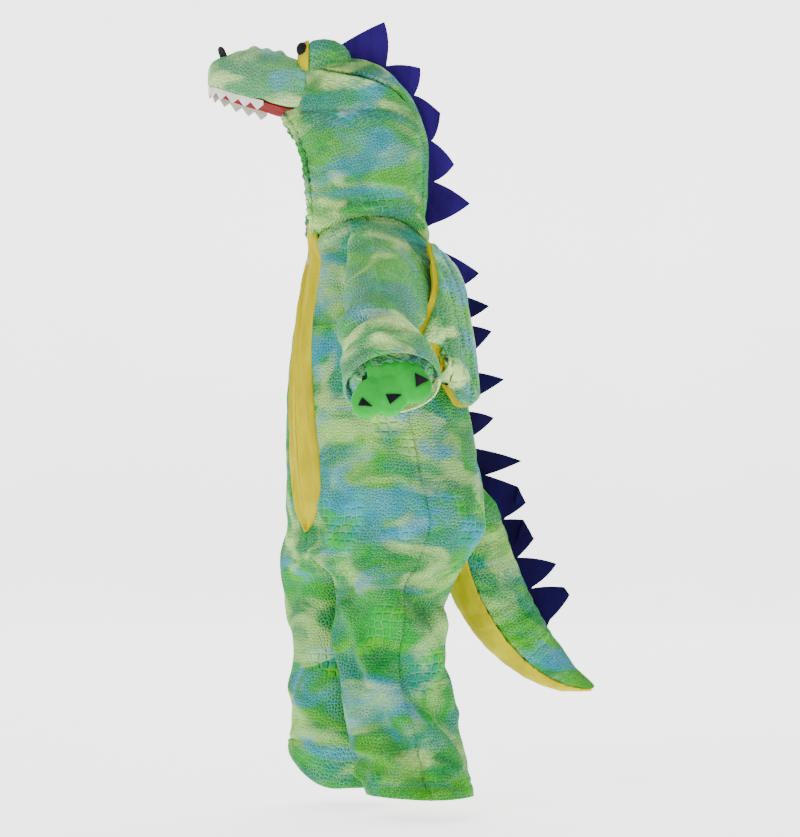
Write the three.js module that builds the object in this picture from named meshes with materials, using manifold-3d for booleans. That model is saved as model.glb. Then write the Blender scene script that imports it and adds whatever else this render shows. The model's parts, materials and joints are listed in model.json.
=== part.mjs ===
// A child's dragon costume: a plush jumpsuit with a snouted hood, felt spikes, two small wings and a tail,
// standing in the hollow form it has when it is worn, for a child about 950 mm tall.
// Millimetres, +Z up. The origin is midway between the shoulder tops, inside the neck.
// The snout points to -Y and the left side of the costume is +X. The trunk is turned on the spot
// towards +X from the hood downwards, so each section has its own turn.
import * as THREE from "three";
import { mergeVertices } from "three/addons/utils/BufferGeometryUtils.js";
import Module from "manifold-3d";

const wasm = await Module();
wasm.setup();

// Driving dimensions
const CLOTH = 2; // thickness of the plush cloth
const GAP = 0.3; // left between pieces that are sewn together
const CLEAR = 0.4; // left where a piece lies on a curved one
const FELT = 2.4; // thickness of a felt spike
const LEFT = 1;
const RIGHT = -1;
const MIDPLANE = GAP / 2; // how near a left or right piece comes to the middle seam

// Sections of the trunk. half is the half width, front and back the depths, mid the Y of the centre,
// turn the degrees that the front is turned towards +X, square the squareness of the oval.
const NECK = { z: 8, half: 72, front: 82, back: 77, mid: -1, turn: 8, square: 2.2 };
const TRUNK = [
  NECK,
  { z: -4, half: 88, front: 81, back: 78, mid: -1, turn: 10, square: 2.2 },
  { z: -16, half: 101, front: 81, back: 80, mid: -1, turn: 12, square: 2.2 },
  { z: -30, half: 108, front: 83, back: 82, mid: 0, turn: 15, square: 2.2 },
  { z: -50, half: 113, front: 89, back: 88, mid: 3, turn: 17, square: 2.2 },
  { z: -78, half: 117, front: 98, back: 97, mid: 6, turn: 20, square: 2.1 },
  { z: -130, half: 123, front: 107, back: 107, mid: 6, turn: 22, square: 2.1 },
  { z: -182, half: 129, front: 112, back: 112, mid: 6, turn: 24, square: 2.1 },
  { z: -234, half: 135, front: 114, back: 114, mid: 7, turn: 26, square: 2.1 },
  { z: -286, half: 141, front: 118, back: 119, mid: 12, turn: 28, square: 2.1 },
  { z: -338, half: 147, front: 119, back: 120, mid: 15, turn: 30, square: 2.1 },
  { z: -364, half: 149, front: 115, back: 117, mid: 15, turn: 31, square: 2.1 },
  { z: -395, half: 149, front: 110, back: 112, mid: 8, turn: 32, square: 2.1 },
  { z: -468, half: 140, front: 97, back: 100, mid: -9, turn: 34, square: 2.1 },
  { z: -598, half: 140, front: 100, back: 100, mid: -1, turn: 34, square: 2.1 },
  { z: -650, half: 140, front: 100, back: 100, mid: 5, turn: 34, square: 2.1 },
  { z: -713, half: 140, front: 100, back: 100, mid: 9, turn: 34, square: 2.1 },
];

// Sections of a trouser leg. apart is the distance of its centre from the middle plane, half the half
// width, depth the half depth, square the squareness of the oval.
const LEG = [
  { z: -380, apart: 66, half: 64, depth: 92, square: 2.9 },
  { z: -430, apart: 60, half: 59, depth: 78, square: 2.8 },
  { z: -468, apart: 56.6, half: 56, depth: 71, square: 2.6 },
  { z: -530, apart: 57, half: 56, depth: 71, square: 2.4 },
  { z: -598, apart: 60.5, half: 58, depth: 75, square: 2.3 },
  { z: -650, apart: 71, half: 61, depth: 75, square: 2.1 },
  { z: -690, apart: 85, half: 65, depth: 74, square: 2 },
  { z: -713, apart: 94, half: 62, depth: 69, square: 2 },
];
// Where the trunk starts to part into two legs and where they are apart, in the middle and at the sides.
const PARTING = { middleFrom: -398, middleTo: -474, sideFrom: -352, sideTo: -560 };
const HEM_LIFT = { left: 4, right: 44 }; // how far the front of each hem rides up over the foot
const HEM_LIFT_FROM = -640;

// The largest folds of the body, soft ridges (rise above 0) and troughs (below 0) along a line.
// girth runs from 0 at the middle of the front to 1 at the side seam and 2 at the middle of the back.
const FOLDS = [
  { side: LEFT, girth0: 0.5, z0: -400, girth1: 0.95, z1: -497, wide: 22, rise: 6 },
  { side: LEFT, girth0: 0.95, z0: -497, girth1: 1.16, z1: -585, wide: 22, rise: 6 },
  { side: LEFT, girth0: 0.36, z0: -425, girth1: 0.74, z1: -520, wide: 20, rise: -6 },
  { side: LEFT, girth0: 0.79, z0: -572, girth1: 1.1, z1: -669, wide: 20, rise: 6 },
  { side: LEFT, girth0: 0.6, z0: -600, girth1: 0.9, z1: -680, wide: 18, rise: -5 },
  { side: LEFT, girth0: 0.88, z0: -277, girth1: 1.08, z1: -352, wide: 16, rise: -7 },
  { side: LEFT, girth0: 1.1, z0: -345, girth1: 1.35, z1: -378, wide: 26, rise: 7 },
  { side: RIGHT, girth0: 0.55, z0: -410, girth1: 0.9, z1: -505, wide: 22, rise: 6 },
  { side: RIGHT, girth0: 0.4, z0: -440, girth1: 0.7, z1: -530, wide: 20, rise: -5 },
  { side: RIGHT, girth0: 0.75, z0: -585, girth1: 1.15, z1: -660, wide: 20, rise: 6 },
  { side: RIGHT, girth0: 0.92, z0: -285, girth1: 1.12, z1: -350, wide: 16, rise: -6 },
  { side: LEFT, girth0: 0.42, z0: -62, girth1: 0.56, z1: -112, wide: 15, rise: -6 },
  { side: RIGHT, girth0: 0.42, z0: -66, girth1: 0.52, z1: -105, wide: 15, rise: -5 },
  { side: LEFT, girth0: 1.45, z0: -12, girth1: 1.6, z1: -70, wide: 14, rise: 4 },
  { side: RIGHT, girth0: 1.45, z0: -18, girth1: 1.55, z1: -75, wide: 14, rise: 4 },
];
const GIRTH_MM = 165; // mm of cloth for one step of girth, used to measure how far a point is from a fold

// The armhole: its centre height and girth, half height, and half width as a share of girth. Its centre is
// on the side seam.
const ARMHOLE = { z: -65, girth: 0.9, high: 50, wide: 0.36 };

// The yellow belly leaf: its half width at each height. It ends in a point.
const BELLY = [
  { z: 8, half: 30 },
  { z: -27, half: 40 },
  { z: -60, half: 34 },
  { z: -110, half: 31 },
  { z: -160, half: 36 },
  { z: -222, half: 41 },
  { z: -286, half: 44 },
  { z: -320, half: 41 },
  { z: -348, half: 29 },
  { z: -366, half: 14 },
  { z: -378, half: 0.6 },
];
const BELLY_TIP_Z = -378;
const ZIP_HALF = 2.6; // half width of the zip chain
const ZIP_END_Z = -348;

// Heights of the rows of cloth from the neck to the hem, apart from those that follow the armhole.
const ROWS_ABOVE_ARMHOLE = [8, -4];
const ROWS_BELOW_ARMHOLE = [
  -145, -180, -215, -250, -282, -314, -348, -366, -378, -394, -412, -430, -446, -462, -496, -532, -568,
  -604, -636, -664, -688, -702, -713,
];
const ARMHOLE_STEPS = 6;
const PANEL_COLUMNS = 7;

// The sleeves: the elbow and the cuff centre, and the half width along the arm from 0 to 1.
const ARMS = {
  [LEFT]: { elbow: [176, 16, -128], cuff: [236, 27, -192] },
  [RIGHT]: { elbow: [-172, -32, -132], cuff: [-226, -28, -190] },
};
const SLEEVE = [
  { v: 0, radius: 52 },
  { v: 0.3, radius: 56 },
  { v: 0.55, radius: 53 },
  { v: 0.75, radius: 56 },
  { v: 0.9, radius: 62 },
  { v: 1, radius: 55 },
];
const SLEEVE_FOLDS = [
  { at: 0.42, wide: 0.05, rise: -4, turn: 60 },
  { at: 0.53, wide: 0.05, rise: 4, turn: 80 },
  { at: 0.64, wide: 0.05, rise: -4, turn: 45 },
];
const SLEEVE_STEPS = 2 * ARMHOLE_STEPS;
const SLEEVE_ROWS = [0, 0.1, 0.22, 0.34, 0.44, 0.54, 0.64, 0.76, 0.88, 0.95, 1];

// The hood, with the same columns as the trunk. open is the half width of the face opening.
const HOOD = [
  { ...NECK, z: NECK.z + GAP, open: 30 },
  { z: 26, half: 77, front: 87, back: 76, mid: -5, turn: 4, square: 2.3, open: 46 },
  { z: 65, half: 82, front: 90, back: 82, mid: -9, turn: 0, square: 2.4, open: 58 },
  { z: 104, half: 84, front: 92, back: 84, mid: -10, turn: 0, square: 2.4, open: 57 },
  { z: 130, half: 84, front: 99, back: 82, mid: -10, turn: 0, square: 2.7, open: 58 },
  { z: 156, half: 82, front: 106, back: 75, mid: -10, turn: 0, square: 2.8, open: 42 },
  { z: 163, half: 81.5, front: 105, back: 72, mid: -10, turn: 0, square: 2.8, open: 2 },
  { z: 182, half: 77, front: 99, back: 63, mid: -10, turn: 0, square: 2.6, open: 0 },
  { z: 208, half: 65, front: 84, back: 53, mid: -20, turn: 0, square: 2.3, open: 0 },
  { z: 223.5, half: 49, front: 64, back: 49, mid: -32, turn: 0, square: 2.1, open: 0 },
  { z: 234, half: 31, front: 41, back: 37, mid: -40, turn: 0, square: 2, open: 0 },
  { z: 240.5, half: 1, front: 20, back: 20, mid: -48, turn: 0, square: 2, open: 0 },
];
const HOOD_ROWS = [8.3, 26, 50, 76, 104, 130, 148, 158, 163, 182, 196, 206, 214, 221, 228];
const TOP_ROWS = [234, 238, 240.5];
const HOOD_COLUMNS = 8;
const CROWN_COLUMNS = 4;
const OPEN_TOP_Z = 163;
// The seam between a hood side and the crown strip, in degrees round from the front.
const CROWN_SEAM = [
  { z: 8.3, angle: 160 },
  { z: 120, angle: 157 },
  { z: 180, angle: 140 },
  { z: 196, angle: 112 },
  { z: 214, angle: 68 },
  { z: 221, angle: 38 },
  { z: 228, angle: 1 },
];
const BINDING_RADIUS = 3.6;

// The snout: at each Y the height of its top and of the jaw seam, and its half width.
const SNOUT = [
  { y: -215.5, top: 219, jaw: 201, half: 9 },
  { y: -213, top: 227, jaw: 199.5, half: 20 },
  { y: -208, top: 234, jaw: 197.6, half: 30 },
  { y: -200, top: 238, jaw: 195, half: 37.5 },
  { y: -189, top: 241, jaw: 190.5, half: 43 },
  { y: -176, top: 247, jaw: 186, half: 47 },
  { y: -162, top: 249, jaw: 182, half: 50.5 },
  { y: -145, top: 247.5, jaw: 177.5, half: 54.5 },
  { y: -128, top: 244.5, jaw: 172.3, half: 58 },
  { y: -112, top: 241.5, jaw: 167.6, half: 61 },
  { y: -96, top: 235, jaw: 165.5, half: 62 },
  { y: -76, top: 224, jaw: 166, half: 58 },
];
const SNOUT_ARC = 14; // points over the top of a section
const SNOUT_SQUARE = 2.5;
const KNOBS = { ys: [-154, -137, -120], x: 14, radius: 8, sink: 1.5 };
const MOUTH_INSET = 6;
const TEETH = { inset: 2.4, pitch: 17, band: 6, point: 8.5, thick: 1.6, back: -140 };
const NOSTRIL = { x: 13, y: -192, wide: 15, high: 19, thick: 2.2, lean: 20 };

// The eyes, on the left; the right one is its mirror image.
const EYE = { front: -81 };
const EYELID = { at: [36, -62, 229], size: [22, 36, 30] };
const EYEBALL = { at: [36, -82, 233], size: [17, 15, 24] };
const PUPIL = { at: [45, -90, 243], size: [9, 8, 10] };

// Felt spikes. On the hood and back, from and to are the heights of the base; tip is given by its Y and Z.
const HOOD_SPIKES = [
  { from: 240.4, to: 226, tipY: 15.6, tipZ: 286, start: [-60, 240.5], full: 6 },
  { from: 224.5, to: 188.5, tipY: 62.4, tipZ: 226 },
  { from: 187, to: 131, tipY: 88.4, tipZ: 166.4 },
  { from: 129.5, to: 78.5, tipY: 106.6, tipZ: 100 },
  { from: 77, to: 23, tipY: 127.4, tipZ: 48 },
];
const BACK_SPIKES = [
  { from: -4, to: -64, tipY: 141.7, tipZ: -39 },
  { from: -65.5, to: -106, tipY: 152, tipZ: -82 },
  { from: -107.5, to: -156, tipY: 158.6, tipZ: -114.5 },
  { from: -168, to: -211, tipY: 171.6, tipZ: -178 },
  { from: -221, to: -260, tipY: 162.5, tipZ: -229 },
  { from: -268, to: -311, tipY: 196.3, tipZ: -286 },
];
// On the tail, from and to count the sections of the tail.
const TAIL_SPIKES = [
  { from: 0.72, to: 1.36, tipY: 199, tipZ: -342.5 },
  { from: 1.4, to: 2.28, tipY: 210, tipZ: -398 },
  { from: 2.32, to: 3.18, tipY: 245, tipZ: -423 },
  { from: 3.22, to: 4.3, tipY: 260, tipZ: -468.5 },
];

// The tail: centre and radius of each section from inside the seat to the tip.
const TAIL = [
  { x: -44, y: 78, z: -322, radius: 40 },
  { x: -52, y: 117, z: -360, radius: 50 },
  { x: -60, y: 138, z: -420, radius: 49 },
  { x: -68, y: 163, z: -474, radius: 47 },
  { x: -77, y: 193, z: -518, radius: 41 },
  { x: -86, y: 228, z: -553, radius: 31 },
  { x: -94, y: 262, z: -576, radius: 18 },
  { x: -100, y: 294, z: -588, radius: 4 },
];
const TAIL_STEPS = 13; // sections along the tail
const UNDER_HALF_ANGLE = 56; // degrees of yellow each side of the underside

// The left wing: at each distance from its root round the back, its top and bottom heights.
const WING = [
  { w: 0, top: -60, bottom: -156 },
  { w: 20, top: -50, bottom: -185 },
  { w: 45, top: -38, bottom: -208 },
  { w: 70, top: -26, bottom: -216 },
  { w: 90, top: -20, bottom: -218 },
  { w: 104, top: -22, bottom: -196 },
  { w: 112, top: -32, bottom: -152 },
  { w: 120, top: -68, bottom: -146 },
  { w: 128, top: -112, bottom: -144 },
];
const WING_ROOT = { angle: 12, perMm: 0.53 };
const WING_STANDS = [
  { w: 0, off: 6.6 },
  { w: 60, off: 12 },
  { w: 128, off: 24 },
];
const WING_THICK = { outer: 4, lining: 3 };
const WING_COLUMNS = 9;
const WING_ROWS = 5;

// The foam paw over each hand: three lobes and a root. The right one is the mirror image, at its own cuff.
const PAW_LOBES = [
  { along: 36, across: 22, long: 31, wide: 25 },
  { along: 50, across: -3, long: 33, wide: 24 },
  { along: 56, across: -26, long: 31, wide: 23 },
];
const PAW = { root: [30, 0, 27], down: [0.45, 0, -0.89], thick: 10 };
const PALM = { at: 15, long: 44, wide: 33, thinner: 2 };
const NAIL = { long: 13, wide: 11, thick: 3, from: 13, high: 6.2, lean: 0.55 };

const COLOURS = {
  plush: { color: 0x66c46a, roughness: 0.75, metalness: 0 },
  yellow: { color: 0xd8c82b, roughness: 0.85, metalness: 0 },
  felt: { color: 0x33246e, roughness: 0.95, metalness: 0 },
  red: { color: 0xaa1e20, roughness: 0.8, metalness: 0 },
  white: { color: 0xe9e7dd, roughness: 0.9, metalness: 0 },
  black: { color: 0x151515, roughness: 0.85, metalness: 0 },
  paw: { color: 0x46af50, roughness: 0.6, metalness: 0 },
  metal: { color: 0x9a9a98, roughness: 0.35, metalness: 1 },
};

const costume = new THREE.Group();
const rad = THREE.MathUtils.degToRad;
const mix = THREE.MathUtils.lerp;
const vec = (x, y, z) => new THREE.Vector3(x, y, z);

function smooth(t) {
  const c = THREE.MathUtils.clamp(t, 0, 1);
  return c * c * (3 - 2 * c);
}

// One column of a table at a place between its rows, on a curve that never swings past them.
function read(table, key, at, by = "z") {
  const sign = table[0][by] < table[1][by] ? 1 : -1;
  let i = 0;
  while (i < table.length - 2 && sign * table[i + 1][by] < sign * at) i++;
  const slope = (k) => (table[k + 1][key] - table[k][key]) / (table[k + 1][by] - table[k][by]);
  const tangent = (k) => {
    if (k === 0 || k === table.length - 1) return slope(Math.min(k, table.length - 2));
    const [a, b] = [slope(k - 1), slope(k)];
    return a * b <= 0 ? 0 : (2 * a * b) / (a + b);
  };
  const span = table[i + 1][by] - table[i][by];
  const t = THREE.MathUtils.clamp((at - table[i][by]) / span, 0, 1);
  const t2 = t * t;
  const t3 = t2 * t;
  return (
    (2 * t3 - 3 * t2 + 1) * table[i][key] +
    (t3 - 2 * t2 + t) * span * tangent(i) +
    (3 * t2 - 2 * t3) * table[i + 1][key] +
    (t3 - t2) * span * tangent(i + 1)
  );
}

// A closed mesh from points and triangles, with equal points merged and collapsed triangles dropped.
function closed(points, triangles) {
  const raw = new THREE.BufferGeometry();
  raw.setAttribute("position", new THREE.Float32BufferAttribute(points.flatMap((p) => [p.x, p.y, p.z]), 3));
  raw.setIndex(triangles.flat());
  const merged = mergeVertices(raw, 1e-3);
  const index = merged.index.array;
  const kept = [];
  for (let i = 0; i < index.length; i += 3) {
    const [a, b, c] = [index[i], index[i + 1], index[i + 2]];
    if (a !== b && b !== c && a !== c) kept.push(a, b, c);
  }
  merged.setIndex(kept);
  return volume(merged) < 0 ? reversed(merged) : merged;
}

function volume(geometry) {
  const p = geometry.attributes.position;
  const index = geometry.index.array;
  let sum = 0;
  for (let i = 0; i < index.length; i += 3) {
    const [a, b, c] = [0, 1, 2].map((k) => vec().fromBufferAttribute(p, index[i + k]));
    sum += a.dot(b.cross(c)) / 6;
  }
  return sum;
}

function reversed(geometry) {
  const index = [...geometry.index.array];
  for (let i = 0; i < index.length; i += 3) [index[i], index[i + 1]] = [index[i + 1], index[i]];
  return geometry.setIndex(index);
}

// The direction that a surface faces at a place, from small steps along it.
function facing(surface, p, q, side) {
  const stepP = 1e-3;
  const stepQ = 0.05;
  const alongP = surface(p + stepP, q).sub(surface(p - stepP, q));
  const alongQ = surface(p, q + stepQ).sub(surface(p, q - stepQ));
  return alongP.cross(alongQ).multiplyScalar(side).normalize();
}

// A wall of cloth: outer points on a surface, inner points a thickness behind them, and rims round it.
// place(i, j) gives the two coordinates on the surface of row i and column j.
function wall({ surface, side, rows, columns, place, thick = CLOTH, raise = 0, keep = (p) => p }) {
  const points = [];
  const across = columns + 1;
  for (const depth of [raise, raise - thick])
    for (let i = 0; i <= rows; i++)
      for (let j = 0; j < across; j++) {
        const [p, q] = place(i, j);
        const normal = facing(surface, p, q, side);
        points.push(keep(surface(p, q).addScaledVector(normal, depth)));
      }
  const at = (layer, i, j) => layer * (rows + 1) * across + i * across + j;
  const triangles = [];
  const quad = (a, b, c, d) => triangles.push([a, b, c], [a, c, d]);
  for (let i = 0; i < rows; i++)
    for (let j = 0; j < columns; j++) {
      quad(at(0, i, j), at(0, i, j + 1), at(0, i + 1, j + 1), at(0, i + 1, j));
      quad(at(1, i, j), at(1, i + 1, j), at(1, i + 1, j + 1), at(1, i, j + 1));
    }
  for (let j = 0; j < columns; j++) {
    quad(at(0, 0, j), at(1, 0, j), at(1, 0, j + 1), at(0, 0, j + 1));
    quad(at(0, rows, j), at(0, rows, j + 1), at(1, rows, j + 1), at(1, rows, j));
  }
  for (let i = 0; i < rows; i++) {
    quad(at(0, i, 0), at(0, i + 1, 0), at(1, i + 1, 0), at(1, i, 0));
    quad(at(0, i, columns), at(1, i, columns), at(1, i + 1, columns), at(0, i + 1, columns));
  }
  return closed(points, triangles);
}

// A solid through rings of equal point counts, with flat ends. From the point number crossFrom on,
// its faces are split along their other diagonal, as a mirrored half needs.
function loft(rings, crossFrom = Infinity) {
  const n = rings[0].length;
  const triangles = [];
  for (let i = 0; i < rings.length - 1; i++)
    for (let j = 0; j < n; j++) {
      const k = (j + 1) % n;
      const [a, b, c, d] = [i * n + j, i * n + k, (i + 1) * n + k, (i + 1) * n + j];
      if (j < crossFrom) triangles.push([a, b, c], [a, c, d]);
      else triangles.push([a, b, d], [b, c, d]);
    }
  const points = rings.flat();
  for (const [first, last] of [[0, true], [(rings.length - 1) * n, false]]) {
    const middle = points.length;
    const ring = points.slice(first, first + n);
    points.push(ring.reduce((sum, p) => sum.add(p), vec()).divideScalar(n));
    for (let j = 0; j < n; j++) {
      const [a, b] = [first + j, first + ((j + 1) % n)];
      triangles.push(last ? [middle, b, a] : [middle, a, b]);
    }
  }
  return closed(points, triangles);
}

// A flat plate from a loop of points, half its thickness to each side along a direction.
function plate(outline, direction, thick) {
  const normal = direction.clone().normalize();
  const alongX = outline[1].clone().sub(outline[0]).projectOnPlane(normal).normalize();
  const alongY = normal.clone().cross(alongX);
  const flat = outline.map((p) => new THREE.Vector2(p.dot(alongX), p.dot(alongY)));
  const faces = THREE.ShapeUtils.triangulateShape(flat, []);
  const n = outline.length;
  const moved = (d) => outline.map((p) => p.clone().addScaledVector(normal, d));
  const points = [...moved(thick / 2), ...moved(-thick / 2)];
  const triangles = faces.flatMap(([a, b, c]) => [[a, b, c], [a + n, c + n, b + n]]);
  const wound = THREE.ShapeUtils.isClockWise(flat) ? -1 : 1;
  const turned = THREE.ShapeUtils.area(faces[0].map((k) => flat[k])) < 0 ? -1 : 1;
  for (let j = 0; j < n; j++) {
    const k = (j + 1) % n;
    const sides = [[j + n, k + n, k], [j + n, k, j]];
    triangles.push(...(wound * turned > 0 ? sides : sides.map(([a, b, c]) => [a, c, b])));
  }
  return closed(points, triangles);
}

// An egg of given half sizes, as a closed mesh.
function egg(at, size, around, down) {
  const ball = new THREE.SphereGeometry(1, around, down);
  ball.scale(...size).translate(...at);
  ball.deleteAttribute("normal");
  ball.deleteAttribute("uv");
  const p = ball.attributes.position;
  const points = [];
  for (let i = 0; i < p.count; i++) points.push(vec().fromBufferAttribute(p, i));
  const index = ball.index.array;
  const triangles = [];
  for (let i = 0; i < index.length; i += 3) triangles.push([index[i], index[i + 1], index[i + 2]]);
  return closed(points, triangles);
}

// Joining and cutting
function solid(geometry) {
  return new wasm.Manifold(
    new wasm.Mesh({
      numProp: 3,
      vertProperties: geometry.attributes.position.array,
      triVerts: new Uint32Array(geometry.index.array),
    }),
  );
}

function surfaceOf(made) {
  const mesh = made.getMesh();
  const geometry = new THREE.BufferGeometry();
  geometry.setAttribute("position", new THREE.BufferAttribute(new Float32Array(mesh.vertProperties), 3));
  return geometry.setIndex([...mesh.triVerts]);
}

function cut(geometry, ...cutters) {
  let made = solid(geometry);
  for (const cutter of cutters) made = made.subtract(solid(cutter));
  return surfaceOf(largest(made));
}

function join(...geometries) {
  return surfaceOf(geometries.map(solid).reduce((a, b) => a.add(b)));
}

// The largest of the pieces that a cut leaves.
function largest(made) {
  return made.decompose().reduce((a, b) => (b.volume() > a.volume() ? b : a));
}

function add(name, geometry, colour) {
  const mesh = new THREE.Mesh(geometry, new THREE.MeshStandardMaterial(COLOURS[colour]));
  mesh.name = name;
  costume.add(mesh);
}

const sideName = (side) => (side === LEFT ? "left" : "right");

// A point of an oval section given in its own frame, s to the costume's own side and t to the front.
function turnedPoint(table, z, side, s, t, height = z) {
  const turn = rad(read(table, "turn", z));
  const mid = read(table, "mid", z);
  const [cosine, sine] = [Math.cos(turn), Math.sin(turn)];
  return vec(side * s * cosine + t * sine, mid + side * s * sine - t * cosine, height);
}

// The side and front distances of a point of an oval section, at an angle from the front.
function oval(table, z, angle) {
  const power = 2 / read(table, "square", z);
  const sine = Math.sin(rad(angle));
  const cosine = Math.cos(rad(angle));
  const depth = read(table, cosine > 0 ? "front" : "back", z);
  return [
    read(table, "half", z) * Math.sign(sine) * Math.abs(sine) ** power,
    depth * Math.sign(cosine) * Math.abs(cosine) ** power,
  ];
}

// How far the folds raise the cloth at a place.
function foldRise(side, girth, z) {
  let rise = 0;
  for (const fold of FOLDS) {
    if (fold.side !== side) continue;
    const line = [(fold.girth1 - fold.girth0) * GIRTH_MM, fold.z1 - fold.z0];
    const to = [(girth - fold.girth0) * GIRTH_MM, z - fold.z0];
    const dot = to[0] * line[0] + to[1] * line[1];
    const share = THREE.MathUtils.clamp(dot / (line[0] ** 2 + line[1] ** 2), 0, 1);
    const away = Math.hypot(to[0] - share * line[0], to[1] - share * line[1]);
    rise += fold.rise * Math.exp(-((away / fold.wide) ** 2));
  }
  return rise;
}

// The outer surface of one half of the body, from the neck to a trouser hem.
function bodySurface(side) {
  return (girth, z) => {
    const angle = 90 * girth;
    const [trunkS, trunkT] = oval(TRUNK, z, angle);
    const legAngle = rad(180 * girth - 90);
    const [legSine, legCosine] = [Math.sin(legAngle), Math.cos(legAngle)];
    const power = 2 / read(LEG, "square", z);
    const legSide = Math.sign(legSine) * Math.abs(legSine) ** power;
    const legS = read(LEG, "apart", z) + read(LEG, "half", z) * legSide;
    const legT = read(LEG, "depth", z) * Math.sign(legCosine) * Math.abs(legCosine) ** power;
    const sideways = Math.sin(rad(angle)) ** 2;
    const from = mix(PARTING.middleFrom, PARTING.sideFrom, sideways);
    const share = smooth((from - z) / (from - mix(PARTING.middleTo, PARTING.sideTo, sideways)));
    const rise = foldRise(side, girth, z);
    const s = mix(trunkS + rise * Math.sin(rad(angle)), legS + rise * legSine, share);
    const t = mix(trunkT + rise * Math.cos(rad(angle)), legT + rise * legCosine, share);
    const lift = (side === LEFT ? HEM_LIFT.left : HEM_LIFT.right) * smooth((HEM_LIFT_FROM - z) / 70);
    const front = Math.max(0, legCosine) ** 2;
    return turnedPoint(TRUNK, z, side, s, t, z + lift * front);
  };
}

// Moves a point of a half body back to its own side of the middle seam.
function keepBody(side) {
  return (p) => {
    const turn = rad(read(TRUNK, "turn", p.z));
    const mid = read(TRUNK, "mid", p.z);
    const s = side * (p.x * Math.cos(turn) + (p.y - mid) * Math.sin(turn));
    if (s >= MIDPLANE) return p;
    const t = p.x * Math.sin(turn) - (p.y - mid) * Math.cos(turn);
    return turnedPoint(TRUNK, p.z, side, MIDPLANE, t);
  };
}

function armholeRows() {
  const rows = [];
  for (let k = 0; k <= ARMHOLE_STEPS; k++)
    rows.push(ARMHOLE.z + ARMHOLE.high * Math.cos((Math.PI * k) / ARMHOLE_STEPS));
  return rows;
}

const BODY_ROWS = [...ROWS_ABOVE_ARMHOLE, ...armholeRows(), ...ROWS_BELOW_ARMHOLE];

// The girth at which a front or back panel ends at the side: the side seam, or the edge of the armhole.
function sideEdge(z, forward) {
  const share = (z - ARMHOLE.z) / ARMHOLE.high;
  const bite = Math.abs(share) < 1 ? ARMHOLE.wide * Math.sqrt(1 - share * share) : 0;
  return forward ? ARMHOLE.girth - bite - seam(z) : ARMHOLE.girth + bite + seam(z);
}

// Half the gap of a seam as a share of girth.
function seam(z) {
  return z > PARTING.middleTo ? MIDPLANE / GIRTH_MM : MIDPLANE / GIRTH_MM / 1.2;
}

// The girth of a place on the front that is a given distance from the middle.
function girthAtWidth(width, z) {
  const share = Math.min(1, width / read(TRUNK, "half", z));
  return Math.asin(share ** (read(TRUNK, "square", z) / 2)) / (Math.PI / 2);
}

function bellyHalf(z) {
  return z < BELLY_TIP_Z ? 0 : read(BELLY, "half", z);
}

function bodyPanels(side) {
  const surface = bodySurface(side);
  const keep = keepBody(side);
  const rows = BODY_ROWS.length - 1;
  const common = { surface, side, rows, columns: PANEL_COLUMNS, keep };
  const front = (i, j) => {
    const z = BODY_ROWS[i];
    const start = z >= BELLY_TIP_Z ? girthAtWidth(bellyHalf(z) + GAP, z) : 0;
    return [mix(start, sideEdge(z, true), j / PANEL_COLUMNS), z];
  };
  const back = (i, j) => [mix(sideEdge(BODY_ROWS[i], false), 2, j / PANEL_COLUMNS), BODY_ROWS[i]];
  add("front_" + sideName(side), wall({ ...common, place: front }), "plush");
  add("back_" + sideName(side), wall({ ...common, place: back }), "plush");
}

function bellyPanel(side) {
  const heights = BODY_ROWS.filter((z) => z >= BELLY_TIP_Z);
  const columns = 3;
  const place = (i, j) => {
    const z = heights[i];
    const inner = z >= ZIP_END_Z ? ZIP_HALF + GAP : MIDPLANE;
    return [girthAtWidth(mix(inner, bellyHalf(z), j / columns), z), z];
  };
  const rows = heights.length - 1;
  const panel = { surface: bodySurface(side), side, rows, columns, place, keep: keepBody(side) };
  add("belly_" + sideName(side), wall(panel), "yellow");
}

// The zip: its chain down the middle of the front, the slider near the neck and the pull tab on the slider.
const ZIP = { top: 4, slider: -21, chainThick: 1.8, base: 1.4, sliderHigh: 8, sliderWide: 5 };
const LUG = { out: 1.1, wide: 0.9, tall: 1.8, high: 3 };
const TAB = { long: 13, wide: 5, neck: 2.6, thick: 1, past: 0.7 };

function zipFrame() {
  const surface = bodySurface(LEFT);
  const at = surface(0, ZIP.slider);
  const down = surface(0, ZIP.slider - 8).sub(surface(0, ZIP.slider + 8)).normalize();
  const turn = rad(read(TRUNK, "turn", ZIP.slider));
  const left = vec(Math.cos(turn), Math.sin(turn), 0).projectOnPlane(down).normalize();
  const out = left.clone().cross(down).normalize();
  return { at, down, left, out: out.y > 0 ? out.negate() : out };
}

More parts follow.
